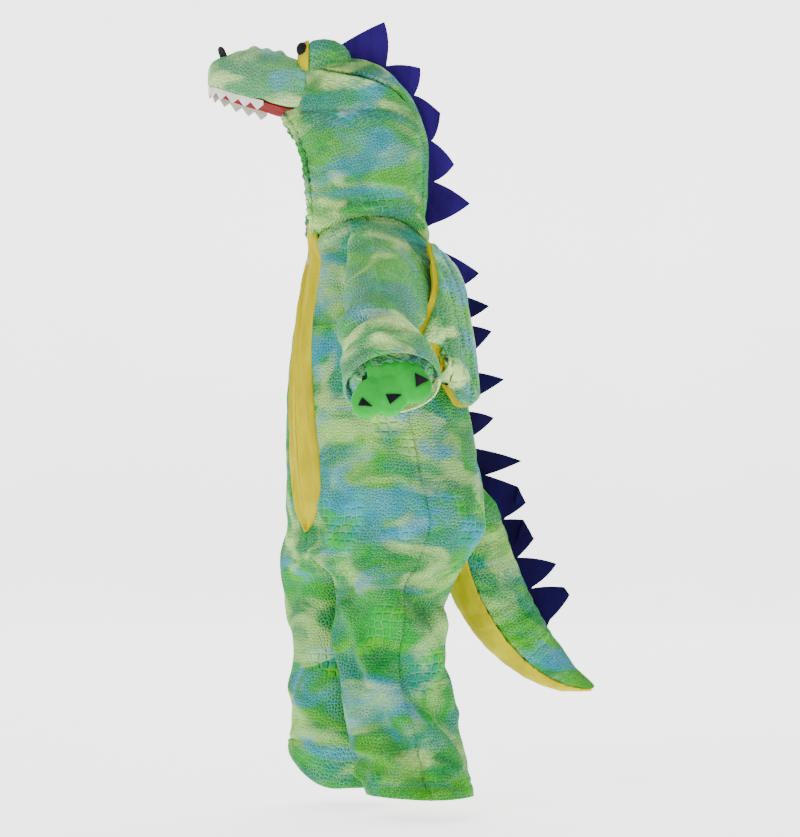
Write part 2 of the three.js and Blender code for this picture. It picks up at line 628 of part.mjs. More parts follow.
function zip() {
  const heights = [ZIP.top, ...BODY_ROWS.filter((z) => z < ZIP.top && z > ZIP_END_Z), ZIP_END_Z + 1];
  const surface = (s, z) => {
    const [, t] = oval(TRUNK, z, 0);
    return turnedPoint(TRUNK, z, LEFT, s, t);
  };
  const place = (i, j) => [mix(-ZIP_HALF, ZIP_HALF, j), heights[i]];
  const rows = heights.length - 1;
  const chain = { surface, side: LEFT, rows, columns: 1, place, thick: ZIP.chainThick, raise: -GAP };
  add("zip_chain", wall(chain), "metal");

  const { at, down, left, out } = zipFrame();
  const box = (wide, high, thick, s, d, o) => {
    const made = new THREE.BoxGeometry(wide, high, thick);
    made.deleteAttribute("normal");
    made.deleteAttribute("uv");
    const centre = at.clone().addScaledVector(left, s).addScaledVector(down, d).addScaledVector(out, o);
    const axes = new THREE.Matrix4().makeBasis(left, down, out.clone()).setPosition(centre);
    const flat = mergeVertices(made.applyMatrix4(axes), 1e-4);
    return volume(flat) < 0 ? reversed(flat) : flat;
  };
  const base = box(ZIP.sliderWide, ZIP.sliderHigh, ZIP.base, 0, 0, CLEAR + ZIP.base / 2);
  const lugAt = CLEAR + ZIP.base + LUG.tall / 2 - 0.1;
  const lugSide = TAB.neck / 2 + GAP + LUG.wide / 2;
  const lugs = [1, -1].map((k) => box(LUG.wide, LUG.high, LUG.tall + 0.2, k * lugSide, 0, lugAt));
  add("zip_slider", join(base, ...lugs), "metal");

  const height = CLEAR + ZIP.base + LUG.out;
  const loop = [
    [-TAB.neck / 2, -TAB.past],
    [TAB.neck / 2, -TAB.past],
    [TAB.neck / 2, LUG.high / 2 + 0.8],
    [TAB.wide / 2, LUG.high / 2 + 2.4],
    [TAB.wide / 2, TAB.long - 1.5],
    [TAB.wide / 2 - 1.5, TAB.long],
    [-TAB.wide / 2 + 1.5, TAB.long],
    [-TAB.wide / 2, TAB.long - 1.5],
    [-TAB.wide / 2, LUG.high / 2 + 2.4],
    [-TAB.neck / 2, LUG.high / 2 + 0.8],
  ];
  const outline = loop.map(([s, d]) =>
    at.clone().addScaledVector(left, s).addScaledVector(down, d).addScaledVector(out, height),
  );
  add("zip_pull_tab", plate(outline, out, TAB.thick), "metal");
}

// The outer surface of a sleeve. turn is in degrees from the top round to the front, and v runs from the
// armhole to the cuff.
function sleeveSurface(side) {
  const body = bodySurface(side);
  const { elbow, cuff } = ARMS[side];
  const start = body(ARMHOLE.girth, ARMHOLE.z);
  const line = new THREE.CatmullRomCurve3([start, vec(...elbow), vec(...cuff)]);
  return (turn, v) => {
    const along = THREE.MathUtils.clamp(v, 0, 1);
    const direction = line.getTangent(along);
    const top = vec(0, 0, 1).projectOnPlane(direction).normalize();
    const forward = direction.clone().cross(top).multiplyScalar(side);
    let radius = read(SLEEVE, "radius", along, "v");
    for (const fold of SLEEVE_FOLDS) {
      const near = Math.exp(-(((along - fold.at) / fold.wide) ** 2));
      radius += fold.rise * near * Math.max(0, Math.cos(rad(turn - fold.turn)));
    }
    const tube = line
      .getPoint(along)
      .addScaledVector(direction, (v - along) * 100)
      .addScaledVector(top, radius * Math.cos(rad(turn)))
      .addScaledVector(forward, radius * Math.sin(rad(turn)));
    const inside = 1 - CLEAR / ARMHOLE.high;
    const girth = ARMHOLE.girth - ARMHOLE.wide * inside * Math.sin(rad(turn));
    const hole = body(girth, ARMHOLE.z + ARMHOLE.high * inside * Math.cos(rad(turn)));
    const point = hole.addScaledVector(direction, along * 60).lerp(tube, smooth(v / 0.5));
    return outsideBody(side, point, Math.min(1.5, along * 15));
  };
}

// Moves a point sideways until it is clear of the trunk.
function outsideBody(side, p, clear) {
  if (clear <= 0) return p;
  const turn = rad(read(TRUNK, "turn", p.z));
  const mid = read(TRUNK, "mid", p.z);
  const s = side * (p.x * Math.cos(turn) + (p.y - mid) * Math.sin(turn));
  const t = p.x * Math.sin(turn) - (p.y - mid) * Math.cos(turn);
  const square = read(TRUNK, "square", p.z);
  const share = Math.min(1, Math.abs(t) / read(TRUNK, t > 0 ? "front" : "back", p.z));
  const edge = read(TRUNK, "half", p.z) * (1 - share ** square) ** (1 / square) + clear;
  return s >= edge ? p : turnedPoint(TRUNK, p.z, side, edge, t);
}

function sleeveRing(side, v, raise) {
  const surface = sleeveSurface(side);
  const ring = [];
  for (let j = 0; j < SLEEVE_STEPS; j++) {
    const turn = (360 * j) / SLEEVE_STEPS;
    ring.push(surface(turn, v).addScaledVector(sleeveFacing(surface, turn, v, side), raise));
  }
  return ring;
}

function sleeveFacing(surface, turn, v, side) {
  const step = 0.004;
  const around = surface(turn + 1, v).sub(surface(turn - 1, v));
  const along = surface(turn, Math.min(1, v + step)).sub(surface(turn, Math.max(0, v - step)));
  return around.cross(along).multiplyScalar(side).normalize();
}

function sleeve(side) {
  const outer = SLEEVE_ROWS.map((v) => sleeveRing(side, v, 0));
  const inner = SLEEVE_ROWS.map((v) => sleeveRing(side, v, -CLOTH));
  add("sleeve_" + sideName(side), tube(outer, inner), "plush");
}

// An open tube from rings of outer and inner points.
function tube(outer, inner) {
  const n = outer[0].length;
  const rows = outer.length;
  const points = [...outer.flat(), ...inner.flat()];
  const triangles = [];
  const quad = (a, b, c, d) => triangles.push([a, b, c], [a, c, d]);
  const at = (layer, i, j) => layer * rows * n + i * n + (j % n);
  for (let i = 0; i < rows - 1; i++)
    for (let j = 0; j < n; j++) {
      quad(at(0, i, j), at(0, i, j + 1), at(0, i + 1, j + 1), at(0, i + 1, j));
      quad(at(1, i, j), at(1, i + 1, j), at(1, i + 1, j + 1), at(1, i, j + 1));
    }
  for (let j = 0; j < n; j++) {
    quad(at(0, 0, j), at(1, 0, j), at(1, 0, j + 1), at(0, 0, j + 1));
    quad(at(0, rows - 1, j), at(0, rows - 1, j + 1), at(1, rows - 1, j + 1), at(1, rows - 1, j));
  }
  return closed(points, triangles);
}

const PALM_FROM = 0.6; // the palm of a paw is fitted to the sleeve from here on
const PAST_CUFF = 1.02; // and to a hollow that ends just past the cuff

// The foam paw that hangs over the back of a hand from the inside of the cuff, with its felt nails.
function paw(side) {
  const cuff = vec(...ARMS[side].cuff);
  const root = cuff.clone().add(vec(side * PAW.root[0], PAW.root[1], PAW.root[2]));
  const down = vec(side * PAW.down[0], PAW.down[1], PAW.down[2]).normalize();
  const across = vec(0, 1, 0);
  const out = across.clone().cross(down).multiplyScalar(side).normalize();
  if (out.x * side < 0) out.negate();
  const pad = (at, long, wide, direction, thick) => {
    const made = egg([0, 0, 0], [long, wide, thick], 12, 6);
    const sideways = out.clone().cross(direction).normalize();
    made.applyMatrix4(new THREE.Matrix4().makeBasis(direction, sideways, out).setPosition(at));
    return volume(made) < 0 ? reversed(made) : made;
  };
  const lobes = PAW_LOBES.map(({ along, across: sideways, long, wide }) => {
    const centre = root.clone().addScaledVector(down, along).addScaledVector(across, sideways);
    const direction = centre.clone().sub(root).projectOnPlane(out).normalize();
    return { centre, direction, long, wide };
  });
  const palmAt = root.clone().addScaledVector(down, PALM.at);
  const palm = pad(palmAt, PALM.long, PALM.wide, down, PAW.thick - PALM.thinner);
  const pads = lobes.map((l) => pad(l.centre, l.long, l.wide, l.direction, PAW.thick));
  const nearCuff = SLEEVE_ROWS.filter((v) => v > PALM_FROM);
  const inside = [...nearCuff, PAST_CUFF].map((v) => sleeveRing(side, v, -CLOTH - CLEAR));
  const sleeveHollow = loft(inside);
  const sleeveFat = loft(nearCuff.map((v) => sleeveRing(side, v, CLEAR)));
  const shell = solid(sleeveFat).subtract(solid(sleeveHollow));
  const body = surfaceOf(largest(solid(join(palm, ...pads)).subtract(shell)));
  add("paw_" + sideName(side), body, "paw");

  const grown = (l) => pad(l.centre, l.long + CLEAR, l.wide + CLEAR, l.direction, PAW.thick + CLEAR);
  const fat = join(...lobes.map(grown));
  lobes.forEach((l, k) => {
    const sideways = out.clone().cross(l.direction).normalize();
    const start = l.centre.clone().addScaledVector(l.direction, NAIL.from).addScaledVector(out, NAIL.high);
    const outline = [
      start.clone().addScaledVector(sideways, -NAIL.wide / 2),
      start.clone().addScaledVector(l.direction, NAIL.long),
      start.clone().addScaledVector(sideways, NAIL.wide / 2),
    ];
    const lean = out.clone().addScaledVector(l.direction, NAIL.lean).normalize();
    const nail = plate(outline, lean, NAIL.thick * 2);
    add("nail_" + sideName(side) + "_" + (k + 1), cut(nail, fat), "black");
  });
}

// The outer surface of one half of the hood, at an angle in degrees from the front and a height.
function hoodSurface(side) {
  return (angle, z) => {
    const [s, t] = oval(HOOD, z, angle);
    return turnedPoint(HOOD, z, side, s, t);
  };
}

function keepHood(side) {
  return (p) => {
    const turn = rad(read(HOOD, "turn", p.z));
    const mid = read(HOOD, "mid", p.z);
    const s = side * (p.x * Math.cos(turn) + (p.y - mid) * Math.sin(turn));
    if (s >= MIDPLANE) return p;
    const t = p.x * Math.sin(turn) - (p.y - mid) * Math.cos(turn);
    return turnedPoint(HOOD, p.z, side, MIDPLANE, t);
  };
}

// The angle at which the hood starts beside the face opening.
function openAngle(z) {
  if (z >= OPEN_TOP_Z) return 0.5;
  const share = Math.min(1, read(HOOD, "open", z) / read(HOOD, "half", z));
  return Math.max(0.5, THREE.MathUtils.radToDeg(Math.asin(share ** (read(HOOD, "square", z) / 2))));
}

const crownAngle = (z) => read(CROWN_SEAM, "angle", z);

// Half the gap of the crown seam in degrees, wider where the seam runs slantwise.
const crownGap = (z) => (z > 165 ? 0.75 : 0.14);

// The angles of the points of a hood side and of a crown strip at a height.
function hoodAngles(z) {
  const aboveSides = z > HOOD_ROWS[HOOD_ROWS.length - 1];
  const seamAt = crownAngle(z);
  const start = aboveSides ? 0 : openAngle(z);
  const end = aboveSides ? 0 : Math.max(seamAt - crownGap(z), start + 0.3);
  const sideAngles = [];
  for (let j = 0; j <= HOOD_COLUMNS; j++) sideAngles.push(mix(start, end, j / HOOD_COLUMNS));
  const from = aboveSides ? 0 : seamAt + crownGap(z);
  const crownAngles = [];
  for (let j = 0; j <= CROWN_COLUMNS; j++) crownAngles.push(mix(from, 180, j / CROWN_COLUMNS));
  return { sideAngles, crownAngles };
}

// One side of the hood. widen moves the edge of the face opening forward by that many degrees.
function hoodSide(side, raise, thick, widen = 0) {
  const place = (i, j) => {
    const angle = hoodAngles(HOOD_ROWS[i]).sideAngles[j];
    return [j === 0 ? Math.max(0, angle - widen) : angle, HOOD_ROWS[i]];
  };
  const sheet = { surface: hoodSurface(side), side, columns: HOOD_COLUMNS, place, keep: keepHood(side) };
  return wall({ ...sheet, rows: HOOD_ROWS.length - 1, thick, raise });
}

function hoodPieces(side) {
  add("hood_side_" + sideName(side), hoodSide(side, 0, CLOTH), "plush");
  const heights = [...HOOD_ROWS, ...TOP_ROWS];
  const place = (i, j) => [hoodAngles(heights[i]).crownAngles[j], heights[i]];
  const crown = { surface: hoodSurface(side), side, columns: CROWN_COLUMNS, place, keep: keepHood(side) };
  add("hood_crown_" + sideName(side), wall({ ...crown, rows: heights.length - 1 }), "plush");
}

// The hood as one filled form, a little larger than its cloth, to shape what lies on it.
function hoodFilled(raise) {
  const rings = [...HOOD_ROWS, ...TOP_ROWS].map((z) => {
    const { sideAngles, crownAngles } = hoodAngles(z);
    const angles = [0, ...sideAngles, ...crownAngles];
    const point = (side, angle) =>
      hoodSurface(side)(angle, z).addScaledVector(facing(hoodSurface(side), angle, z, side), raise);
    const left = angles.map((angle) => point(LEFT, angle));
    const right = angles.slice(1, -1).map((angle) => point(RIGHT, angle));
    return [...left, ...right.reverse()];
  });
  return loft(rings, HOOD_COLUMNS + CROWN_COLUMNS + 2);
}

function trunkFilled(raise, fromZ, toZ) {
  const heights = BODY_ROWS.filter((z) => z <= fromZ && z >= toZ);
  const rings = heights.map((z) => {
    const ring = [];
    for (let k = 0; k < 4 * PANEL_COLUMNS; k++) {
      const girth = k / PANEL_COLUMNS;
      const side = girth < 2 ? LEFT : RIGHT;
      const at = side === LEFT ? girth : 4 - girth;
      ring.push(bodySurface(side)(at, z).addScaledVector(facing(bodySurface(side), at, z, side), raise));
    }
    return ring;
  });
  return loft(rings, 2 * PANEL_COLUMNS);
}

// The gathered green binding round the face opening: a soft tube just in front of the hood's edge.
function faceBinding() {
  const heights = [12, 30, 50, 72, 98, 122, 140, 150, 157];
  const half = (side) =>
    heights.map((z) => {
      const surface = hoodSurface(side);
      const edge = surface(openAngle(z), z);
      const back = surface(openAngle(z) + 4, z);
      return edge.clone().addScaledVector(edge.clone().sub(back).normalize(), BINDING_RADIUS + CLEAR + 0.8);
    });
  const top = hoodSurface(LEFT)(0.5, OPEN_TOP_Z).add(vec(0, 4, -BINDING_RADIUS - 2));
  top.x = 0;
  const line = new THREE.CatmullRomCurve3([...half(LEFT), top, ...half(RIGHT).reverse()]);
  const section = new THREE.Shape();
  const sides = 6;
  for (let k = 0; k < sides; k++) {
    const angle = (2 * Math.PI * k) / sides;
    const [x, y] = [BINDING_RADIUS * Math.cos(angle), BINDING_RADIUS * Math.sin(angle)];
    if (k === 0) section.moveTo(x, y);
    else section.lineTo(x, y);
  }
  const made = new THREE.ExtrudeGeometry(section, { extrudePath: line, steps: 26 });
  made.deleteAttribute("normal");
  made.deleteAttribute("uv");
  const flat = mergeVertices(made, 1e-3);
  const tubeForm = volume(flat) < 0 ? reversed(flat) : flat;
  return cut(tubeForm, ...[LEFT, RIGHT].map((side) => hoodSide(side, CLEAR, CLOTH + 2 * CLEAR, 1.6)));
}

// One section of the snout: an arch over a flat jaw.
function snoutRing(y, grow) {
  const half = read(SNOUT, "half", y, "y") + grow;
  const top = read(SNOUT, "top", y, "y") + grow;
  const jaw = read(SNOUT, "jaw", y, "y") - grow;
  const ring = [];
  for (let k = 0; k <= SNOUT_ARC; k++) {
    const angle = (Math.PI * k) / SNOUT_ARC;
    const power = 2 / SNOUT_SQUARE;
    const across = Math.sign(Math.cos(angle)) * Math.abs(Math.cos(angle)) ** power;
    ring.push(vec(half * across, y, jaw + (top - jaw) * Math.sin(angle) ** power));
  }
  ring.push(vec(-half / 3, y, jaw), vec(half / 3, y, jaw));
  return ring;
}

function snoutForm(grow) {
  const rings = SNOUT.map(({ y }) => snoutRing(y, grow));
  rings[0].forEach((p) => (p.y -= grow));
  return loft(rings);
}

function snout() {
  const knobs = KNOBS.ys.flatMap((y) =>
    [KNOBS.x, -KNOBS.x].map((x) => {
      const { radius, sink } = KNOBS;
      const top = read(SNOUT, "top", y, "y") - 2;
      return egg([x, y, top - sink + 1], [radius, radius, radius], 8, 5);
    }),
  );
  const made = join(snoutForm(0), ...knobs);
  return cut(made, hoodFilled(CLEAR));
}

// Points round the jaw from the back on the left, round the tip, to the back on the right.
function jawLine(inset, back) {
  const corner = ({ y, half, jaw }) => vec(Math.max(1, half - inset), y + inset * 0.6, jaw);
  const left = SNOUT.filter(({ y }) => y < back).map(corner);
  left.push(vec(read(SNOUT, "half", back, "y") - inset, back, read(SNOUT, "jaw", back, "y")));
  const right = left.map((p) => vec(-p.x, p.y, p.z));
  return new THREE.CatmullRomCurve3([...left.reverse(), ...right]);
}

function teeth() {
  const line = jawLine(TEETH.inset, TEETH.back);
  const count = Math.round(line.getLength() / TEETH.pitch);
  const along = (share) => line.getPointAt(THREE.MathUtils.clamp(share, 0, 1));
  const surface = (share, drop) => along(share).add(vec(0, 0, -drop));
  const columns = 2 * count;
  const place = (i, j) => {
    const share = mix(0.002, 0.998, j / columns);
    return [share, i === 0 ? CLEAR : TEETH.band + (j % 2 ? TEETH.point : 0)];
  };
  return cut(wall({ surface, side: LEFT, rows: 1, columns, place, thick: TEETH.thick }), snoutForm(CLEAR));
}

// The red lining under the snout, inside the row of teeth.
function mouthLining() {
  const stations = SNOUT.filter(({ y }) => y > -210 && y < -90);
  const rings = stations.map(({ y, half, jaw }, k) => {
    const wide = half - MOUTH_INSET - (k === 0 ? 8 : 0);
    return [
      vec(-wide, y, jaw - CLEAR),
      vec(wide, y, jaw - CLEAR),
      vec(wide, y, jaw - CLEAR - CLOTH),
      vec(-wide, y, jaw - CLEAR - CLOTH),
    ];
  });
  return cut(loft(rings), hoodFilled(CLEAR));
}

function nostril(side) {
  const top = read(SNOUT, "top", NOSTRIL.y, "y");
  const centre = vec(side * NOSTRIL.x, NOSTRIL.y, top - 6);
  const lean = rad(NOSTRIL.lean);
  const up = vec(0, -Math.sin(lean), Math.cos(lean));
  const across = vec(Math.cos(rad(35)), side * Math.sin(rad(35)), 0);
  const outline = [];
  for (let k = 0; k <= 6; k++) {
    const angle = (Math.PI * k) / 6;
    outline.push(
      centre
        .clone()
        .addScaledVector(across, (NOSTRIL.wide / 2) * Math.cos(angle))
        .addScaledVector(up, NOSTRIL.high - NOSTRIL.wide / 2 + (NOSTRIL.wide / 2) * Math.sin(angle)),
    );
  }
  outline.push(centre.clone().addScaledVector(across, -NOSTRIL.wide / 2));
  outline.push(centre.clone().addScaledVector(across, NOSTRIL.wide / 2));
  return cut(plate(outline, across.clone().cross(up), NOSTRIL.thick), snoutForm(CLEAR));
}

function mirrored(at, side) {
  return [side * at[0], at[1], at[2]];
}

function eye(side) {
  const hood = hoodFilled(CLEAR);
  const nose = snoutForm(CLEAR);
  const block = (fromY, toY) => {
    const made = new THREE.BoxGeometry(200, toY - fromY, 200);
    made.translate(0, (fromY + toY) / 2, 240);
    made.deleteAttribute("normal");
    made.deleteAttribute("uv");
    return mergeVertices(made, 1e-4);
  };
  const lid = egg(mirrored(EYELID.at, side), EYELID.size, 16, 8);
  add("eyelid_" + sideName(side), cut(lid, hood, nose, block(EYE.front - 100, EYE.front)), "plush");
  const ball = egg(mirrored(EYEBALL.at, side), EYEBALL.size, 14, 8);
  const behindLid = block(EYE.front - CLEAR, EYE.front + 100);
  add("eyeball_" + sideName(side), cut(ball, hood, nose, behindLid), "yellow");
  const pupil = egg(mirrored(PUPIL.at, side), PUPIL.size, 10, 6);
  const grown = egg(mirrored(EYEBALL.at, side), EYEBALL.size.map((d) => d + CLEAR), 14, 8);
  add("pupil_" + sideName(side), cut(pupil, grown, hood, nose), "black");
}

// A felt spike: a flat plate that stands on a line of base points and leans to its tip.
function spike(base, tip, outwards, full = 1.5) {
  const raised = base.map((p) => p.clone().addScaledVector(outwards, 2.2 * CLEAR));
  const first = raised[0];
  const last = raised[raised.length - 1];
  const bulge = (from, share, rise) => from.clone().lerp(tip, share).addScaledVector(outwards, rise);
  const outline = [...raised, bulge(last, 0.5, 1.5), tip, bulge(first, 0.4, full)];
  const along = last.clone().sub(first);
  return plate(outline, along.cross(outwards), FELT);
}

function spikes() {
  const steps = [0, 0.25, 0.5, 0.75, 1];
  const tailFat = loft(tailRings(-180 + UNDER_HALF_ANGLE, 180 - UNDER_HALF_ANGLE, 12, 0, CLEAR));
  const made = [];
  for (const { from, to, tipY, tipZ, start, full } of HOOD_SPIKES) {
    const base = steps.map((k) => {
      const z = mix(from, to, k);
      const [, t] = oval(HOOD, z, 180);
      return turnedPoint(HOOD, z, LEFT, 0, t);
    });
    const along = base[steps.length - 1].clone().sub(base[0]).normalize();
    const outwards = vec(0, -along.z, along.y).normalize();
    if (start) base.unshift(vec(0, ...start));
    made.push(spike(base, vec(0, tipY, tipZ), outwards, full));
  }
  for (const { from, to, tipY, tipZ } of BACK_SPIKES) {
    const base = steps.map((k) => bodySurface(LEFT)(2, mix(from, to, k)));
    const turn = rad(read(TRUNK, "turn", (from + to) / 2));
    const level = vec(-Math.sin(turn), Math.cos(turn), 0);
    const along = base[steps.length - 1].clone().sub(base[0]).normalize();
    const outwards = level.clone().projectOnPlane(along).normalize();
    const reach = (tipY - base[2].y) / Math.cos(turn);
    const felt = spike(base, vec(base[2].x - reach * Math.sin(turn), tipY, tipZ), outwards);
    made.push(cut(felt, tailFat));
  }
  for (const { from, to, tipY, tipZ } of TAIL_SPIKES) {
    const frames = steps.map((k) => tailFrame(mix(from, to, k)));
    const base = frames.map(({ centre, top, radius }) => centre.clone().addScaledVector(top, radius));
    made.push(spike(base, vec(base[2].x - 6, tipY, tipZ), frames[2].top));
  }
  return made;
}

// The tail at a place between its sections: centre, radius, and the directions of its top and its side.
function tailFrame(station) {
  const rows = TAIL.map((row, k) => ({ ...row, k }));
  const at = (key, s) => read(rows, key, s, "k");
  const point = (s) => vec(at("x", s), at("y", s), at("z", s));
  const step = 0.02;
  const [before, after] = [Math.max(station - step, 0), Math.min(station + step, TAIL.length - 1)];
  const direction = point(after).sub(point(before)).normalize();
  const sideways = direction.clone().cross(vec(0, 0, 1)).normalize();
  const top = sideways.clone().cross(direction).normalize();
  return { centre: point(station), radius: at("radius", station), top, sideways };
}

// Rings of the tail between two angles from its top, moved along the top by a shift and grown all round.
function tailRings(fromAngle, toAngle, count, shift, grow = 0) {
  const rings = [];
  for (let i = 0; i <= TAIL_STEPS; i++) {
    const { centre, radius, top, sideways } = tailFrame(((TAIL.length - 1) * i) / TAIL_STEPS);
    const ring = [];
    for (let k = 0; k <= count; k++) {
      const angle = rad(mix(fromAngle, toAngle, k / count));
      const across = (radius + grow) * Math.sin(angle);
      const up = (radius + grow) * Math.cos(angle) + shift;
      ring.push(centre.clone().addScaledVector(top, up).addScaledVector(sideways, across));
    }
    rings.push(ring);
  }
  return rings;
}

function tail() {
  const edge = 180 - UNDER_HALF_ANGLE;
  const body = trunkFilled(CLEAR, -140, -462);
  add("tail_top", cut(loft(tailRings(-edge, edge, 12, 0)), body), "plush");
  const underSteps = 6;
  add("tail_under", cut(loft(tailRings(edge, 360 - edge, underSteps, -GAP), underSteps), body), "yellow");
}

// One layer of a wing: a curved pad that follows the back, further off it towards its free edge.
function wingLayer(side, thick, off) {
  const body = bodySurface(side);
  const widest = WING[WING.length - 1].w;
  const surface = (w, z) => {
    const girth = 2 - (WING_ROOT.angle + w * WING_ROOT.perMm) / 90;
    const stand = read(WING_STANDS, "off", THREE.MathUtils.clamp(w, 0, widest), "w");
    return body(girth, z).addScaledVector(facing(body, girth, z, side), stand);
  };
  const place = (i, j) => {
    const w = (widest * j) / WING_COLUMNS;
    const [top, bottom] = [read(WING, "top", w, "w"), read(WING, "bottom", w, "w")];
    return [w, mix(top, bottom, i / WING_ROWS)];
  };
  return wall({ surface, side: -side, rows: WING_ROWS, columns: WING_COLUMNS, place, thick, raise: off });
}

function wing(side) {
  const sleeveForm = loft(SLEEVE_ROWS.map((v) => sleeveRing(side, v, CLEAR)));
  const outer = wingLayer(side, WING_THICK.outer, WING_THICK.outer / 2);
  const lining = wingLayer(side, WING_THICK.lining, WING_THICK.outer / 2 - WING_THICK.outer - GAP);
  add("wing_" + sideName(side), cut(outer, sleeveForm), "plush");
  add("wing_lining_" + sideName(side), cut(lining, sleeveForm), "yellow");
}

for (const side of [LEFT, RIGHT]) {
  bodyPanels(side);
  bellyPanel(side);
  sleeve(side);
  paw(side);
  hoodPieces(side);
  eye(side);
  add("nostril_" + sideName(side), nostril(side), "black");
  wing(side);
}
zip();
add("face_binding", faceBinding(), "plush");
add("snout", snout(), "plush");
add("mouth_lining", mouthLining(), "red");
add("teeth", teeth(), "white");
tail();
spikes().forEach((made, k) => add("spike_" + String(k + 1).padStart(2, "0"), made, "felt"));

export default costume;
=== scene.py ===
# %% [markdown]
# # A dragon costume in plush, felt and foam
# The costume is a zip-up jumpsuit in the hollow form that it has when it is worn. Its solids come from the
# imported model, which is the fixed frame: every piece here is made on the same sections, in the same place.
# Cloth is a surface, so each cut panel is made as a thin shell on a grid of points. Small hard things, such
# as zip teeth, are modelled from primitives instead.

# %% Load the frame
import json
import math
import bmesh
import bpy
import numpy as np
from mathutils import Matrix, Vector

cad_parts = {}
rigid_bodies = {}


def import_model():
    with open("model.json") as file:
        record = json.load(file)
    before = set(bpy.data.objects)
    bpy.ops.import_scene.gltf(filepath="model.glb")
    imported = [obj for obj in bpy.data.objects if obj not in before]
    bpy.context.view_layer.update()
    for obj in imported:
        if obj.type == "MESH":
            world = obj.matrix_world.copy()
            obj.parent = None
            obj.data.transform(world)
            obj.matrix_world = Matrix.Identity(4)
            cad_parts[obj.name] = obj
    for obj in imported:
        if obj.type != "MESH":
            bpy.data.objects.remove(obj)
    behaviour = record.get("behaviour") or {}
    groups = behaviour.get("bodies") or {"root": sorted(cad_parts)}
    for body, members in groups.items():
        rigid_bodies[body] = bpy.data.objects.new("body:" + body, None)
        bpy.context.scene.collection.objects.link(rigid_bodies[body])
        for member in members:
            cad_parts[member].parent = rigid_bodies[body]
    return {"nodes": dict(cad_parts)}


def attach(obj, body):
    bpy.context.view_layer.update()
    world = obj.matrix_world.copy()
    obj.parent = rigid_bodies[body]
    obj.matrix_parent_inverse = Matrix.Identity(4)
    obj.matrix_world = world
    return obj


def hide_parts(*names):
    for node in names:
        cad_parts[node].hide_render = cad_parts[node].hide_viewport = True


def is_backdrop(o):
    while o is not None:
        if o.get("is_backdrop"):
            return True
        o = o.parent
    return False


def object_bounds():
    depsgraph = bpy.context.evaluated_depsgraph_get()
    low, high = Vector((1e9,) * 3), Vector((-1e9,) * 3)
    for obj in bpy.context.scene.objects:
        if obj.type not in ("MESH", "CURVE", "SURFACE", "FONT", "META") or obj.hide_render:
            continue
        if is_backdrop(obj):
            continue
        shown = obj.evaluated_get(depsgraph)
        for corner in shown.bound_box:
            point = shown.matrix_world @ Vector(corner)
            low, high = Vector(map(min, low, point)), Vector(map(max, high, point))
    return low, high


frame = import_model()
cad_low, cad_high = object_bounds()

MM = 0.001
LEFT, RIGHT = 1, -1
SIDES = {LEFT: "left", RIGHT: "right"}
bpy.ops.object.select_all(action="DESELECT")

# %% [markdown]
# ## Camera, floor and light
# The photograph was taken from the costume's left, a little below the middle, with a long lens. So the
# camera stands far away on the +X side. The floor and the wall are one pale sheet with a round bend, as in
# a photo studio, and large lamps keep the shadows soft. They are declared as the stage, so they don't count
# as the costume.

# %% Camera, floor and light
FLOOR_Z, FLOOR_GLOW, SKY_STRENGTH = -0.742, 2.2, 0.26
CAMERA_AT, CAMERA_AIM, LENS_MM, SENSOR_MM = (3.6, 0.036, -0.33), (0, 0.036, -0.232), 119, 36


def aim(thing, at):
    thing.rotation_euler = (Vector(at) - thing.location).to_track_quat("-Z", "Y").to_euler()


bpy.ops.object.camera_add(location=CAMERA_AT)
camera = bpy.context.object
camera.data.lens, camera.data.sensor_width = LENS_MM, SENSOR_MM
aim(camera, CAMERA_AIM)
bpy.context.scene.camera = camera

LAMPS = [
    # name, place, width in metres, watts
    ("key", (3.0, -2.4, 2.8), 2.2, 116),
    ("fill", (3.0, 3.0, 0.8), 3.0, 26),
    ("top", (0.2, 0.2, 3.2), 2.4, 46),
    ("back", (-2.4, 1.4, 1.8), 2.2, 24),
]
for name, at, size, watts in LAMPS:
    bpy.ops.object.light_add(type="AREA", location=at)
    lamp = bpy.context.object
    lamp.name = "lamp_" + name
    lamp.data.size, lamp.data.energy = size, watts
    aim(lamp, (0, 0, -0.2))

world = bpy.data.worlds.new("studio")
bpy.context.scene.world = world
world.use_nodes = True
sky = world.node_tree.nodes["Background"].inputs
sky["Color"].default_value, sky["Strength"].default_value = (1, 1, 1, 1), SKY_STRENGTH
print("camera", CAMERA_AT, "lamps", len(LAMPS))

# %% The floor and wall
# places across the studio and heights above the floor, in metres
BEND = [(9, 0), (-4.2, 0), (-4.7, 0.06), (-5.05, 0.28), (-5.25, 0.65), (-5.3, 1.2), (-5.3, 9)]
stage_points = [(x, y, FLOOR_Z + z) for x, z in BEND for y in (-12, 12)]
stage_faces = [(2 * k, 2 * k + 1, 2 * k + 3, 2 * k + 2) for k in range(len(BEND) - 1)]
stage_mesh = bpy.data.meshes.new("studio_floor")
stage_mesh.from_pydata(stage_points, [], stage_faces)
studio_floor = bpy.data.objects.new("studio_floor", stage_mesh)
bpy.context.scene.collection.objects.link(studio_floor)
for face in stage_mesh.polygons:
    face.use_smooth = True
studio_floor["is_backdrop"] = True
print("stage faces", len(stage_faces))

# %% [markdown]
# ## Finishes
# A finish is a small tree of nodes. The plush has two layers: blurred dyed patches, which run over the
# whole garment, so they read Object coordinates, and pressed scales, which follow the cloth, so they read
# the piece's own UV map. That map is in metres, so one scale size suits every piece. The nodes are linked
# in code, and the numbers that are the same all over, such as sheen, are set straight on the shader.

# %% Helpers for node trees
SHEEN_ROUGHNESS, SPECULAR = 0.45, 0.12


